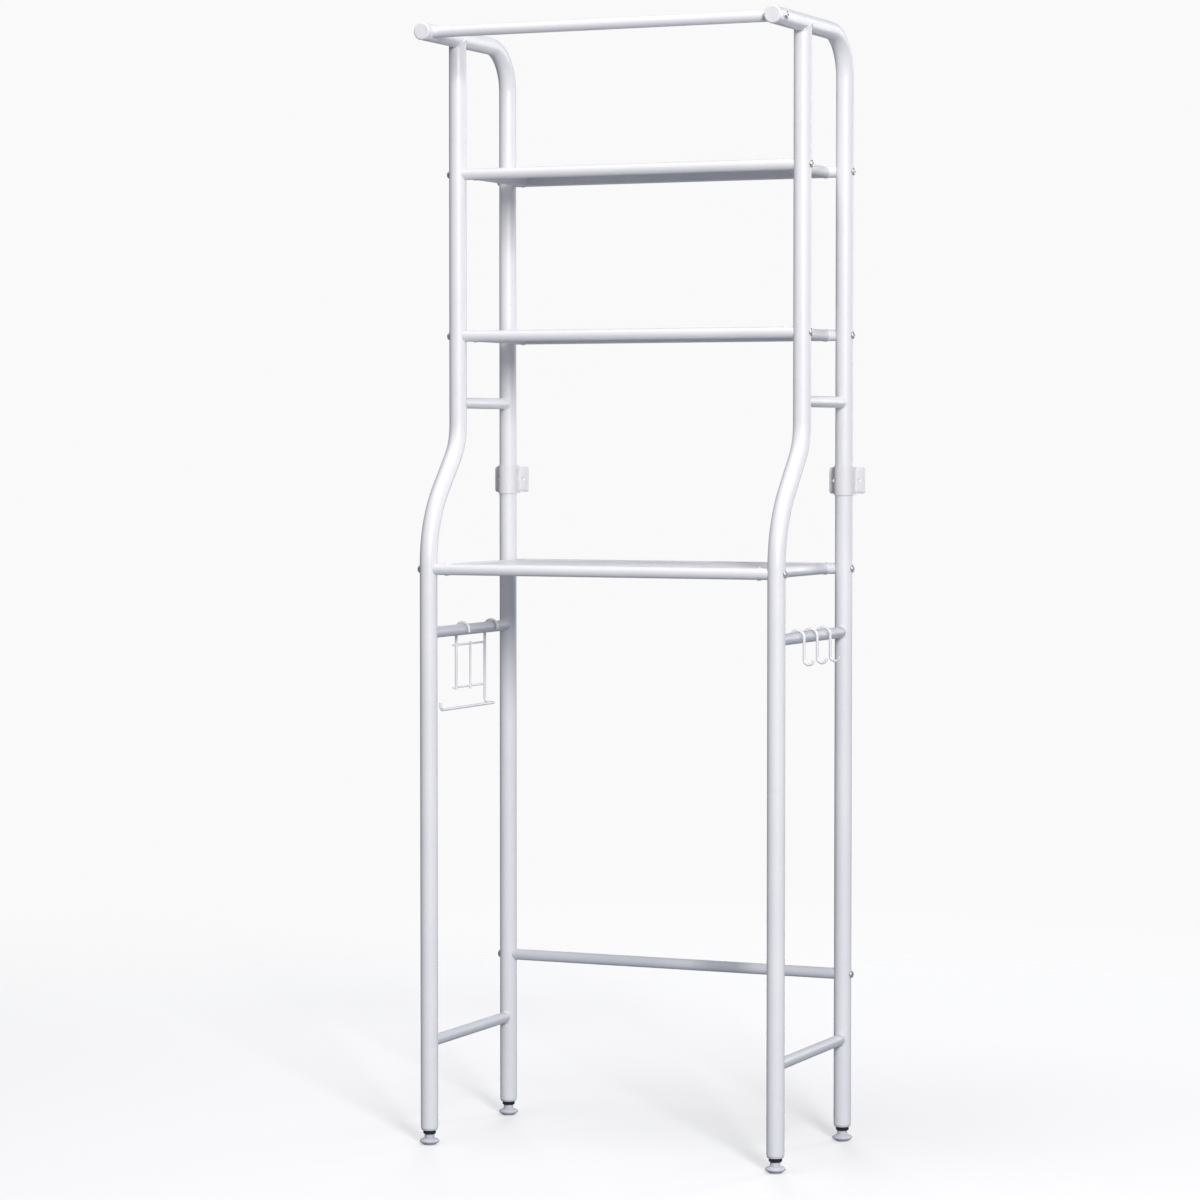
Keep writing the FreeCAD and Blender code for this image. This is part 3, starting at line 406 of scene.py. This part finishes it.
def powder_coat(name, light, shade, peel, gloss):
    """Satin powder coat: two near whites, an orange-peel depth in metres, and a roughness."""
    coat = Recipe(name)
    colour = coat.blend(coat.drift(CLOUD_SCALE, 3.0), light, shade)
    mottle = coat.span(coat.noise(MOTTLE_SCALE, 2.0), MOTTLE_LOW, MOTTLE_HIGH, 0.0, MOTTLE_SHARE)
    colour = coat.blend(mottle, colour, tuple(MOTTLE_TONE * value for value in shade))
    speck = coat.span(coat.cells(SPECK_SCALE), SPECK_CORE, SPECK_EDGE, 1.0, 0.0)
    rare = coat.span(coat.noise(RARE_SCALE, 0.0), RARE_LOW, RARE_HIGH)
    dust = coat.math("MULTIPLY", speck, rare)
    coat.feed("Base Color", coat.blend(dust, colour, DUST))
    rubbed = coat.noise(RUBBED_SCALE, 3.0)
    coat.roughness(rubbed, gloss - RUBBED_SMOOTHER, gloss + RUBBED_ROUGHER)
    coat.bumps((coat.noise(PEEL_SCALE, 1.0), peel),
               (coat.noise(GRAIN_SCALE, 1.0), peel * GRAIN_SHARE),
               (dust, SPECK_RELIEF))
    coat.set(IOR=1.5, Coat_Weight=0.12, Coat_Roughness=0.22)
    return coat.material


WHITE, SOFT_WHITE = (0.80, 0.80, 0.825), (0.765, 0.765, 0.795)
ANCHOR_WHITE, ANCHOR_SHADE = (0.78, 0.78, 0.79), (0.74, 0.74, 0.755)
# Painted shade: this lilac grey darkens the hook rungs to stand for the shade that falls on them.
HOOK_RUNG_SHADE_GREY, HOOK_RUNG_DEEPER_SHADE_GREY = (0.62, 0.62, 0.67), (0.55, 0.56, 0.605)
# Painted shade and painted reflection: this cool grey darkens the low bars and tints them blue for
# the shade and bluish light on them.
LOW_BAR_SHADE_AND_REFLECTION, LOW_BAR_DEEPER_SHADE_AND_REFLECTION = (0.64, 0.65, 0.69), (0.60, 0.61, 0.65)
tube_coat = powder_coat("white_coat", WHITE, SOFT_WHITE, 0.06 * MM, 0.36)
sheet_coat = powder_coat("sheet_coat", WHITE, SOFT_WHITE, 0.08 * MM, 0.42)
anchor_coat = powder_coat("anchor_coat", ANCHOR_WHITE, ANCHOR_SHADE, 0.05 * MM, 0.40)
hook_rung_painted_shade_coat = powder_coat("hook_rung_painted_shade_coat", HOOK_RUNG_SHADE_GREY, HOOK_RUNG_DEEPER_SHADE_GREY, 0.10 * MM, 0.44)
low_bar_painted_shade_coat = powder_coat("low_bar_painted_shade_coat", LOW_BAR_SHADE_AND_REFLECTION, LOW_BAR_DEEPER_SHADE_AND_REFLECTION, 0.07 * MM, 0.40)
coats = (tube_coat, sheet_coat, anchor_coat, hook_rung_painted_shade_coat, low_bar_painted_shade_coat)
print("powder coats:", [coat.name for coat in coats])

# %% [markdown]
# The hooks and the paper holder are wire dipped in liquid plastic, so their skin is smoother and
# glossier than powder, with long slow waves where it ran before it set.

# %% Dipped wire
DIP_WHITE, DIP_SHADE = (0.84, 0.84, 0.85), (0.79, 0.79, 0.81)
PIN_HOLE = (0.52, 0.52, 0.53)
RUN_STRETCH = (420.0, 420.0, 120.0)
RUN_DEPTH = 0.12 * MM
RUN_SMOOTH, RUN_ROUGH = 0.17, 0.28
PIN_SCALE, PIN_CORE, PIN_EDGE, PIN_SHARE = 260.0, 0.05, 0.09, 0.5
PIN_DEPTH = 0.04 * MM


def dipped_wire():
    """Glossy white skin with slow runs along the wire and a few pin holes."""
    skin = Recipe("white_wire")
    runs = skin.noise(1.0, 2.0, vector=skin.stretched(RUN_STRETCH))
    colour = skin.blend(skin.drift(30.0, 2.0), DIP_WHITE, DIP_SHADE)
    pin = skin.span(skin.cells(PIN_SCALE), PIN_CORE, PIN_EDGE, 1.0, 0.0)
    faint_pin = skin.math("MULTIPLY", pin, PIN_SHARE)
    skin.feed("Base Color", skin.blend(faint_pin, colour, PIN_HOLE))
    skin.roughness(runs, RUN_SMOOTH, RUN_ROUGH)
    skin.bumps((runs, RUN_DEPTH), (pin, -PIN_DEPTH))
    skin.set(IOR=1.5, Coat_Weight=0.3, Coat_Roughness=0.12)
    return skin.material


wire_coat = dipped_wire()
print("dipped wire:", wire_coat.name)

# %% [markdown]
# Four moulded plastics: white end caps, pale blue-grey foot plugs, lilac-grey glides and black
# nylon lock nuts. A steel mould etched by sparks leaves a fine pebble grain. Parts near the floor
# pick up scuffs and a little dust, so the recipe takes a grime height: below it, noise lets a
# brownish grey through. The plugs and glides are a little milky, so some light goes under their
# skin and comes out a few millimetres away.

# %% Moulded plastics
PEBBLE_SCALE = 1500.0
SCRATCH_STRETCH = (900.0, 90.0, 2200.0)
SCRATCH_SHARE = 0.6
SCUFF_LOW, SCUFF_HIGH, SCUFF_SHARE = 0.62, 0.72, 0.35
GRIME = (0.33, 0.31, 0.29)
GRIME_SCALE, GRIME_LOW, GRIME_HIGH, GRIME_SHARE = 330.0, 0.35, 0.75, 0.55
MILKY_REACH = (4 * MM, 4 * MM, 5 * MM)


def moulded(name, colour, grain, gloss, grime=0.0, milky=0.0):
    """Etched plastic: colour, depth of the grain in metres, roughness, grime height, milkiness."""
    plastic = Recipe(name)
    darker = tuple(0.9 * value for value in colour)
    scuffed = tuple(min(1.0, 0.12 + 1.02 * value) for value in colour)
    tone = plastic.blend(plastic.drift(55.0, 3.0), colour, darker)
    pebbles = plastic.cells(PEBBLE_SCALE, "SMOOTH_F1")
    scratches = plastic.noise(1.0, 2.0, 0.6, plastic.stretched(SCRATCH_STRETCH))
    scuff = plastic.span(scratches, SCUFF_LOW, SCUFF_HIGH, 0.0, SCUFF_SHARE)
    tone = plastic.blend(scuff, tone, scuffed)
    if grime:
        low = plastic.span(plastic.height(), 0.0, grime, 1.0, 0.0)
        clouds = plastic.noise(GRIME_SCALE, 4.0)
        patchy = plastic.span(clouds, GRIME_LOW, GRIME_HIGH, 0.0, GRIME_SHARE)
        tone = plastic.blend(plastic.math("MULTIPLY", low, patchy), tone, GRIME)
    plastic.feed("Base Color", tone)
    plastic.roughness(plastic.noise(220.0, 2.0), gloss - 0.06, gloss + 0.08)
    plastic.bumps((pebbles, grain), (scratches, grain * SCRATCH_SHARE))
    plastic.set(IOR=1.46)
    if milky:
        plastic.set(Subsurface_Weight=milky, Subsurface_Radius=MILKY_REACH, Subsurface_Scale=1.0)
    return plastic.material


CAP_WHITE, PLUG_GREY = (0.78, 0.78, 0.80), (0.66, 0.70, 0.74)
GLIDE_GREY, NYLON_BLACK = (0.63, 0.63, 0.69), (0.018, 0.020, 0.024)
cap_plastic = moulded("white_plastic", CAP_WHITE, 0.04 * MM, 0.42)
plug_plastic = moulded("grey_plastic", PLUG_GREY, 0.03 * MM, 0.38, milky=0.35)
glide_plastic = moulded("glide_plastic", GLIDE_GREY, 0.04 * MM, 0.40, grime=6 * MM, milky=0.1)
nut_nylon = moulded("black_nylon", NYLON_BLACK, 0.05 * MM, 0.33, grime=9 * MM)
print("plastics:", cap_plastic.name, plug_plastic.name, glide_plastic.name, nut_nylon.name)

# %% [markdown]
# Bolts, studs and threaded inserts are bright zinc plate: metal whose reflections are broken by
# fine rolling marks, with a faint warm and blue drift from the plating bath.

# %% Zinc plate
BLUE_ZINC, WARM_ZINC = (0.66, 0.68, 0.71), (0.71, 0.70, 0.66)
DULL_ZINC = (0.46, 0.46, 0.47)
MARK_STRETCH = (2600.0, 2600.0, 500.0)
MARK_DEPTH = 0.02 * MM
DULL_SCALE, DULL_LOW, DULL_HIGH = 420.0, 0.5, 0.75
ZINC_SMOOTH, ZINC_ROUGH = 0.34, 0.54


def zinc_plate():
    """Bright zinc with plating colours and fine marks."""
    zinc = Recipe("zinc_steel")
    colour = zinc.blend(zinc.drift(70.0, 3.0), BLUE_ZINC, WARM_ZINC)
    dull = zinc.span(zinc.noise(DULL_SCALE, 4.0, 0.65), DULL_LOW, DULL_HIGH)
    marks = zinc.noise(1.0, 2.0, 0.6, zinc.stretched(MARK_STRETCH))
    zinc.feed("Base Color", zinc.blend(dull, colour, DULL_ZINC))
    zinc.roughness(zinc.noise(900.0, 3.0), ZINC_SMOOTH, ZINC_ROUGH)
    zinc.bumps((marks, MARK_DEPTH))
    zinc.set(Metallic=1.0)
    return zinc.material


zinc_steel = zinc_plate()
print("metal:", zinc_steel.name)

# %% [markdown]
# The record says which finish each engineering node has. One loop hands them out: the node's own
# material slot gets the detailed material, and its mesh isn't touched. The hook rungs and the low
# bars then get their own greyer coats, which are painted shade, with a painted bluish reflection on
# the low bars.

# %% Dress the engineering nodes
FINISHES = {
    "white_coat": tube_coat,
    "sheet_coat": sheet_coat,
    "anchor_coat": anchor_coat,
    "white_wire": wire_coat,
    "white_plastic": cap_plastic,
    "grey_plastic": plug_plastic,
    "glide_plastic": glide_plastic,
    "black_nylon": nut_nylon,
    "zinc_steel": zinc_steel,
}
for subpart in frame["record"]["subparts"]:
    node = frame["nodes"][subpart["node"]]
    for material_slot in node.material_slots:
        material_slot.material = FINISHES[subpart["material_slot"]]
# The hook rungs get painted shade; the low bars and the rear crossbar get painted shade with a
# painted bluish reflection.
for side in SIDES:
    frame["nodes"][f"hook_rung_{side}"].material_slots[0].material = hook_rung_painted_shade_coat
    frame["nodes"][f"lower_rung_{side}"].material_slots[0].material = low_bar_painted_shade_coat
frame["nodes"]["rear_crossbar"].material_slots[0].material = low_bar_painted_shade_coat

# %% [markdown]
# ## Making pieces
#
# Four helpers are enough for all the added pieces. The first finishes a mesh: it merges doubles,
# turns the faces outwards, shades it smooth except at real edges, and hands it to a body. The
# second adds one small mesh to a bigger one. The third draws a round stretch of an outline, and the
# fourth spins an outline about an upright axis, as a lathe does.

# %% Piece helpers
DOUBLES = 0.002 * MM
SHARP_ANGLE = math.radians(38)


def finish_piece(bm, name, slot, body):
    """Make the mesh an object, give it a finish, and let it ride on a body."""
    bmesh.ops.remove_doubles(bm, verts=bm.verts, dist=DOUBLES)
    bmesh.ops.recalc_face_normals(bm, faces=bm.faces)
    mesh = bpy.data.meshes.new(name)
    bm.to_mesh(mesh)
    bm.free()
    mesh.materials.append(FINISHES[slot])
    mesh.shade_smooth()
    mesh.set_sharp_from_angle(angle=SHARP_ANGLE)
    piece = bpy.data.objects.new(name, mesh)
    bpy.context.scene.collection.objects.link(piece)
    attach(piece, body)
    print(f"{name}: {len(mesh.polygons)} faces on {body}")
    return piece


def add_to(whole, part):
    """Add a mesh to a bigger one and free it."""
    bmesh.ops.remove_doubles(part, verts=part.verts, dist=DOUBLES)
    bmesh.ops.recalc_face_normals(part, faces=part.faces)
    spare = bpy.data.meshes.new("spare")
    part.to_mesh(spare)
    part.free()
    whole.from_mesh(spare)
    bpy.data.meshes.remove(spare)


def arc(centre_r, centre_z, radius, start, end, count=6):
    """Round stretch of an outline, as (radius, height) points between two angles in degrees."""
    points = []
    for i in range(count + 1):
        angle = math.radians(start + (end - start) * i / count)
        points.append((centre_r + radius * math.cos(angle), centre_z + radius * math.sin(angle)))
    return points


def lathe(outline, centre, steps=64):
    """Solid spun from (radius, height) points that meet the axis at both ends or close a ring."""
    bm = bmesh.new()
    verts = [bm.verts.new(centre + Vector((r, 0, z))) for r, z in outline]
    edges = [bm.edges.new(pair) for pair in zip(verts, verts[1:])]
    bmesh.ops.spin(bm, geom=verts + edges, cent=centre, axis=UP, angle=FULL_TURN,
                   steps=steps, use_merge=True)
    return bm


print("doubles merge at", DOUBLES / MM, "mm; edges stay sharp above",
      round(math.degrees(SHARP_ANGLE)), "degrees")

# %% [markdown]
# ## Weld beads
#
# A rung's end is cut to a saddle that fits the upright, and a bead of weld runs round it. The line
# of the joint isn't flat: at an angle round the rung it moves back as the upright curves away. A
# small circle is spun round the rung's axis to make a ring, then each point slides along the axis
# by that amount. A slow wave in the ring's thickness is the row of overlapping puddles that a
# welder leaves, softened by the paint.

# %% Saddle bead
BEAD_SEGMENTS = 10
BEAD_STEPS = 96
BEAD_RIPPLES = 16
BEAD_RIPPLE_DEPTH = 0.09


def saddle_bead(crossing, away, along, tube_r, met_r, bead_r):
    """Bead round a tube's end. crossing: where the two axes meet; away: along the welded tube;
    along: axis of the tube that it is welded to."""
    across = away.cross(along)
    turn = Matrix((along, away, across)).transposed().to_4x4()
    start = crossing + away * met_r + along * tube_r
    bm = bmesh.new()
    ring = bmesh.ops.create_circle(bm, segments=BEAD_SEGMENTS, radius=bead_r,
                                   matrix=Matrix.Translation(start) @ turn)
    bmesh.ops.spin(bm, geom=ring["verts"] + bm.edges[:], cent=crossing, axis=away,
                   angle=FULL_TURN, steps=BEAD_STEPS, use_merge=True)
    for vert in bm.verts:
        offset = vert.co - crossing
        angle = math.atan2(offset.dot(across), offset.dot(along))
        outwards = math.cos(angle) * along + math.sin(angle) * across
        spine = crossing + away * met_r + tube_r * outwards
        swell = 1 + BEAD_RIPPLE_DEPTH * math.sin(BEAD_RIPPLES * angle)
        slide = math.sqrt(max(0.0, met_r ** 2 - (tube_r * math.sin(angle)) ** 2)) - met_r
        vert.co = spine + (vert.co - spine) * swell + away * slide
    return bm


def joint_crossings(node, met_r):
    """The two places where a front-to-back tube's axis crosses the tubes that it is cut to."""
    low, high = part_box(node)
    tube_r = half_size(node, 2)
    reach = math.sqrt(max(0.0, met_r ** 2 - tube_r ** 2))
    ends = []
    for y, away in ((low.y - reach, ALONG_Y), (high.y + reach, -ALONG_Y)):
        crossing = middle(node)
        crossing.y = y
        ends.append((crossing, away))
    return ends


print("bead steps", BEAD_STEPS, "ripples", BEAD_RIPPLES)

# %% [markdown]
# Each side frame has seven welded joints: both ends of three rungs, and the top of the front
# upright under the arm. The shelf frames have four each, where the side tubes meet the front and
# rear tubes. All of them ride on the fixed frame and wear its powder coat.

# %% Weld the side frames and the shelf frames
RUNG_BEAD = 1.5 * MM
ARM_BEAD = 1.7 * MM
SHELF_BEAD = 1.2 * MM
SHELVES = ("top_shelf", "middle_shelf", "bottom_shelf")

for side in SIDES:
    welds = bmesh.new()
    for rung in ("upper_rung", "hook_rung", "lower_rung"):
        for crossing, away in joint_crossings(f"{rung}_{side}", TUBE_R):
            add_to(welds, saddle_bead(crossing, away, UP, BAR_R, TUBE_R, RUNG_BEAD))
    upper_front, _ = joint_crossings(f"upper_rung_{side}", TUBE_R)[0]
    under_arm = Vector((SIDE_X[side], upper_front.y, ARM_Z))
    add_to(welds, saddle_bead(under_arm, -UP, ALONG_Y, TUBE_R, TUBE_R, ARM_BEAD))
    finish_piece(welds, f"side_frame_welds_{side}", "white_coat", "frame")

for shelf in SHELVES:
    welds = bmesh.new()
    for side in SIDES:
        for crossing, away in joint_crossings(f"{shelf}_{side}_tube", BAR_R):
            add_to(welds, saddle_bead(crossing, away, ALONG_X, BAR_R, BAR_R, SHELF_BEAD))
    finish_piece(welds, f"{shelf}_corner_welds", "white_coat", "frame")

# %% [markdown]
# The sheet panels are tacked to their tubes from below with short stitches. A stitch is a row of
# puddles that grows quickly, stays level and dies away. The outline of such a row, spun about its
# own line, gives the whole bead in one step; the half that would lie inside the metal is hidden.

# %% Stitch beads
STITCH_LENGTH = 16 * MM
STITCH_RADIUS = 1.3 * MM
STITCH_PUDDLES = 7
STITCH_STEPS = 12
POINTS_PER_PUDDLE = 6
PUDDLE_SWELL = 0.10
TAPER_POWER = 0.35


def stitch(middle_point, line, length=STITCH_LENGTH, radius=STITCH_RADIUS, puddles=STITCH_PUDDLES):
    """Row of weld puddles centred on a point, along a direction."""
    count = puddles * POINTS_PER_PUDDLE
    outline = []
    for i in range(count + 1):
        share = i / count
        taper = math.sin(math.pi * share) ** TAPER_POWER if 0 < share < 1 else 0.0
        wave = 1 + PUDDLE_SWELL * math.cos(FULL_TURN * puddles * share)
        outline.append((radius * taper * wave, length * (share - 0.5)))
    bm = lathe(outline, Vector(), STITCH_STEPS)
    turn = UP.rotation_difference(line).to_matrix().to_4x4()
    bmesh.ops.transform(bm, matrix=Matrix.Translation(middle_point) @ turn, verts=bm.verts)
    return bm


STITCHES_LONG = 4
STITCHES_SHORT = 2
WELD_DROP = 0.35 * BAR_R
for shelf in SHELVES:
    stitches = bmesh.new()
    low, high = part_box(f"{shelf}_panel")
    weld_z = middle(f"{shelf}_front_tube").z - WELD_DROP
    for edge_y in (low.y, high.y):
        for i in range(STITCHES_LONG):
            x = low.x + (high.x - low.x) * (i + 0.5) / STITCHES_LONG
            add_to(stitches, stitch(Vector((x, edge_y, weld_z)), ALONG_X))
    for edge_x in (low.x, high.x):
        for i in range(STITCHES_SHORT):
            y = low.y + (high.y - low.y) * (i + 0.5) / STITCHES_SHORT
            add_to(stitches, stitch(Vector((edge_x, y, weld_z)), ALONG_Y))
    finish_piece(stitches, f"{shelf}_panel_welds", "sheet_coat", "frame")

# %% [markdown]
# ## Feet
#
# Each upright ends in a plastic plug, with a threaded stud, a black lock nut and a wide glide. The
# glide is a lens: a small flat underside, a round belly and a dome that climbs to a neck. Arcs in
# its outline give the round stretches, and two shallow steps on the dome are marks of the mould.
# It hides the plain engineering glide and moves with its foot.

# %% Glides
FEET = [f"{end}_{side}" for end in ("front", "rear") for side in SIDES]
STUD_BORE = 4.05 * MM
NECK_HEIGHT, NECK_RADIUS, NECK_ROUND = 5.0 * MM, 7.25 * MM, 0.6 * MM
BASE_SHARE, BASE_INSET, BASE_ROUND = 0.60, 0.8 * MM, 1.6 * MM
BELLY_HEIGHT, BELLY_ROUND = 5.3 * MM, 1.9 * MM
MOULD_MARKS, MOULD_STEP = (0.30, 0.62), 0.25 * MM
SEAT_FLOOR, SEAT_CHAMFER = 4 * MM, 0.4 * MM
DOME_GAP = 0.2 * MM
CORNER_OUT, CORNER_DOWN, CORNER_UP = 0.5 * MM, 0.4 * MM, 0.1 * MM


def glide_outline(belly, top):
    """Half section of a glide: underside, belly, stepped dome, neck and the stud's seat."""
    base_r = BASE_SHARE * belly - BASE_INSET
    dome_foot = BELLY_HEIGHT + BELLY_ROUND
    neck_foot = top - NECK_HEIGHT
    dome_rise = neck_foot - DOME_GAP - BELLY_HEIGHT - BELLY_ROUND
    outline = [(0, 0), (base_r, 0)]
    outline += arc(base_r, BASE_ROUND, BASE_ROUND, -90, -40)
    outline += arc(belly - BELLY_ROUND, BELLY_HEIGHT, BELLY_ROUND, -48, 62)
    for share in MOULD_MARKS:
        r = belly + (NECK_RADIUS - belly) * share
        z = dome_foot + dome_rise * share
        outline += [(r + MOULD_STEP, z - MOULD_STEP), (r, z)]
    outline += [(NECK_RADIUS + CORNER_OUT, neck_foot - CORNER_DOWN)]
    outline += [(NECK_RADIUS, neck_foot + CORNER_UP)]
    outline += arc(NECK_RADIUS - NECK_ROUND, top - NECK_ROUND, NECK_ROUND, 0, 90, 4)
    outline += [(STUD_BORE + SEAT_CHAMFER, top), (STUD_BORE, top - SEAT_CHAMFER)]
    outline += [(STUD_BORE, SEAT_FLOOR), (0, SEAT_FLOOR)]
    return outline


for foot in FEET:
    node = f"{foot}_foot_glide"
    low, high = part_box(node)
    centre = Vector(((low.x + high.x) / 2, (low.y + high.y) / 2, low.z))
    pad = lathe(glide_outline((high.x - low.x) / 2, high.z - low.z), centre)
    glide_pad = finish_piece(pad, f"{foot}_glide_pad", "glide_plastic", f"{foot}_foot")
    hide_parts(node)

# %% [markdown]
# A screw thread is a spin that also climbs. The outline is one pitch of the thread, and each step
# of the spin lifts it by the pitch divided by the steps in a turn, so the top of one turn lands on
# the bottom of the next. Two cuts trim the ends flat, and the open rims are filled.

# %% Threaded studs
THREAD_PITCH = 1.25 * MM
THREAD_DEPTH = 0.68 * MM
THREAD_STEPS = 32
ROOT_ENDS, CREST_STARTS, CREST_ENDS, ROOT_STARTS = 0.12, 0.44, 0.56, 0.88


def threaded_rod(centre, low, high, outer_r):
    """Rod with a helical thread between two heights."""
    inner_r = outer_r - THREAD_DEPTH
    shape = ((inner_r, 0.0), (inner_r, ROOT_ENDS), (outer_r, CREST_STARTS),
             (outer_r, CREST_ENDS), (inner_r, ROOT_STARTS), (inner_r, 1.0))
    turns = math.ceil((high - low) / THREAD_PITCH) + 2
    base = low - THREAD_PITCH
    bm = bmesh.new()
    verts = [bm.verts.new((centre.x + r, centre.y, base + share * THREAD_PITCH))
             for r, share in shape]
    edges = [bm.edges.new(pair) for pair in zip(verts, verts[1:])]
    bmesh.ops.spin(bm, geom=verts + edges, cent=(centre.x, centre.y, 0), axis=UP,
                   dvec=(0, 0, THREAD_PITCH / THREAD_STEPS), angle=FULL_TURN * turns,
                   steps=turns * THREAD_STEPS, use_merge=False)
    bmesh.ops.remove_doubles(bm, verts=bm.verts, dist=DOUBLES)
    for height, normal in ((high, UP), (low, -UP)):
        bmesh.ops.bisect_plane(bm, geom=bm.verts[:] + bm.edges[:] + bm.faces[:],
                               plane_co=(0, 0, height), plane_no=normal, clear_outer=True)
    rims = [edge for edge in bm.edges if edge.is_boundary]
    bmesh.ops.holes_fill(bm, edges=rims, sides=0)
    return bm


for foot in FEET:
    low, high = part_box(f"{foot}_foot_stud")
    rod = threaded_rod(middle(f"{foot}_foot_stud"), low.z, high.z, (high.x - low.x) / 2)
    stud = finish_piece(rod, f"{foot}_threaded_stud", "zinc_steel", f"{foot}_foot")
    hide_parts(f"{foot}_foot_stud")

# %% [markdown]
# A lock nut starts as a round washer spun on the lathe. Each point is then pulled out to the
# hexagon at its own angle, and the rims are lowered by how far a corner sticks out past the
# chamfer, which draws the curved edge that a real nut has where a cone meets its flats.

# %% Lock nuts
NUT_CHAMFER = math.tan(math.radians(30))
NUT_STEPS = 96
CROWN_SHARE = 0.93
BORE_CHAMFER = 0.6 * MM
HEX_SIDE = math.radians(60)


def lock_nut(centre, flats, height):
    """Chamfered hexagonal nut standing on centre."""
    flat_r = flats / 2
    crown_r = CROWN_SHARE * flat_r
    rim_r = STUD_BORE + BORE_CHAMFER
    outline = [(STUD_BORE, BORE_CHAMFER), (rim_r, 0), (crown_r, 0), (flat_r, 0), (flat_r, height),
               (crown_r, height), (rim_r, height), (STUD_BORE, height - BORE_CHAMFER),
               (STUD_BORE, BORE_CHAMFER)]
    bm = lathe(outline, centre, NUT_STEPS)
    bmesh.ops.remove_doubles(bm, verts=bm.verts, dist=DOUBLES)
    for vert in bm.verts:
        offset = vert.co - centre
        radius = math.hypot(offset.x, offset.y)
        if radius < flat_r - DOUBLES:
            continue
        angle = math.atan2(offset.y, offset.x) % HEX_SIDE - HEX_SIDE / 2
        corner_r = flat_r / math.cos(angle)
        grown = corner_r / radius
        drop = (corner_r - crown_r) * NUT_CHAMFER
        vert.co.x = centre.x + offset.x * grown
        vert.co.y = centre.y + offset.y * grown
        vert.co.z += drop if offset.z < height / 2 else -drop
    return bm


nut_low, nut_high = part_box("foot_lock_nuts")
nut_flats = nut_high.y - nut_low.y - (REAR_Y - FRONT_Y)
nuts = bmesh.new()
for foot in FEET:
    spot = middle(f"{foot}_foot_stud")
    add_to(nuts, lock_nut(Vector((spot.x, spot.y, nut_low.z)), nut_flats, nut_high.z - nut_low.z))
nut_piece = finish_piece(nuts, "lock_nuts", "black_nylon", "frame")
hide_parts("foot_lock_nuts")

# %% [markdown]
# ## Wire details
#
# Where two wires of the paper holder cross, an electric spot weld melts them into each other. The
# dip coating fills the corner, so each crossing shows a small soft swelling: one puddle of the
# stitch above, a little off the cross wire's middle, towards the wires that it is welded to. The
# wire ends carry the round drop that the coating leaves, a sleeve with a flattened dome.

# %% Holder crossings and wire ends
SPOT_LENGTH = 5.5 * MM
SPOT_RADIUS = 1.9 * MM
SPOT_INSET = 3.0 * MM
SPOT_SHIFT = 0.9
HOLDER_WIRE_R = 1.5 * MM
END_SLICE = 1.5 * MM
DROP_STEPS = 24
DROP_SLEEVE, DROP_SPREAD, DROP_FLATNESS = 1.2, 1.06, 0.75


def wire_ends(node):
    """Middle of an upright wire's top end and of its lower end."""
    mesh = frame["nodes"][node].data
    low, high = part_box(node)
    top = [vert.co for vert in mesh.vertices if vert.co.z > high.z - END_SLICE]
    foot = [vert.co for vert in mesh.vertices if vert.co.z < low.z + END_SLICE]
    return [sum(points, Vector()) / len(points) for points in (top, foot)]


def end_drop(bm, tip, line, wire_r):
    """Rounded drop of coating over a wire's cut end, facing along a line."""
    outside = DROP_SPREAD * wire_r
    outline = [(0, -DROP_SLEEVE * wire_r), (outside, -DROP_SLEEVE * wire_r)]
    outline += [(r, DROP_FLATNESS * z) for r, z in arc(0, 0, outside, 0, 90, 6)]
    drop = lathe(outline, Vector(), DROP_STEPS)
    turn = UP.rotation_difference(line).to_matrix().to_4x4()
    bmesh.ops.transform(drop, matrix=Matrix.Translation(tip) @ turn, verts=drop.verts)
    add_to(bm, drop)


holder_spots = bmesh.new()
for cross in ("upper", "lower"):
    node = f"paper_holder_{cross}_cross_wire"
    low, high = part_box(node)
    centre = middle(node)
    cross_r = half_size(node, 0)
    for y in (low.y + SPOT_INSET, high.y - SPOT_INSET, centre.y):
        spot = Vector((centre.x + SPOT_SHIFT * cross_r, y, centre.z))
        add_to(holder_spots, stitch(spot, ALONG_Y, SPOT_LENGTH, SPOT_RADIUS, 1))
    for y, line in ((low.y, -ALONG_Y), (high.y, ALONG_Y)):
        end_drop(holder_spots, Vector((centre.x, y, centre.z)), line, cross_r)
top_end, low_end = wire_ends("paper_holder_middle_wire")
wire_down = (low_end - top_end).normalized()
for end, line in ((top_end, -wire_down), (low_end, wire_down)):
    end_drop(holder_spots, end, line, HOLDER_WIRE_R)
finish_piece(holder_spots, "paper_holder_spots", "white_wire", "paper_holder")

# %% [markdown] ## Finish
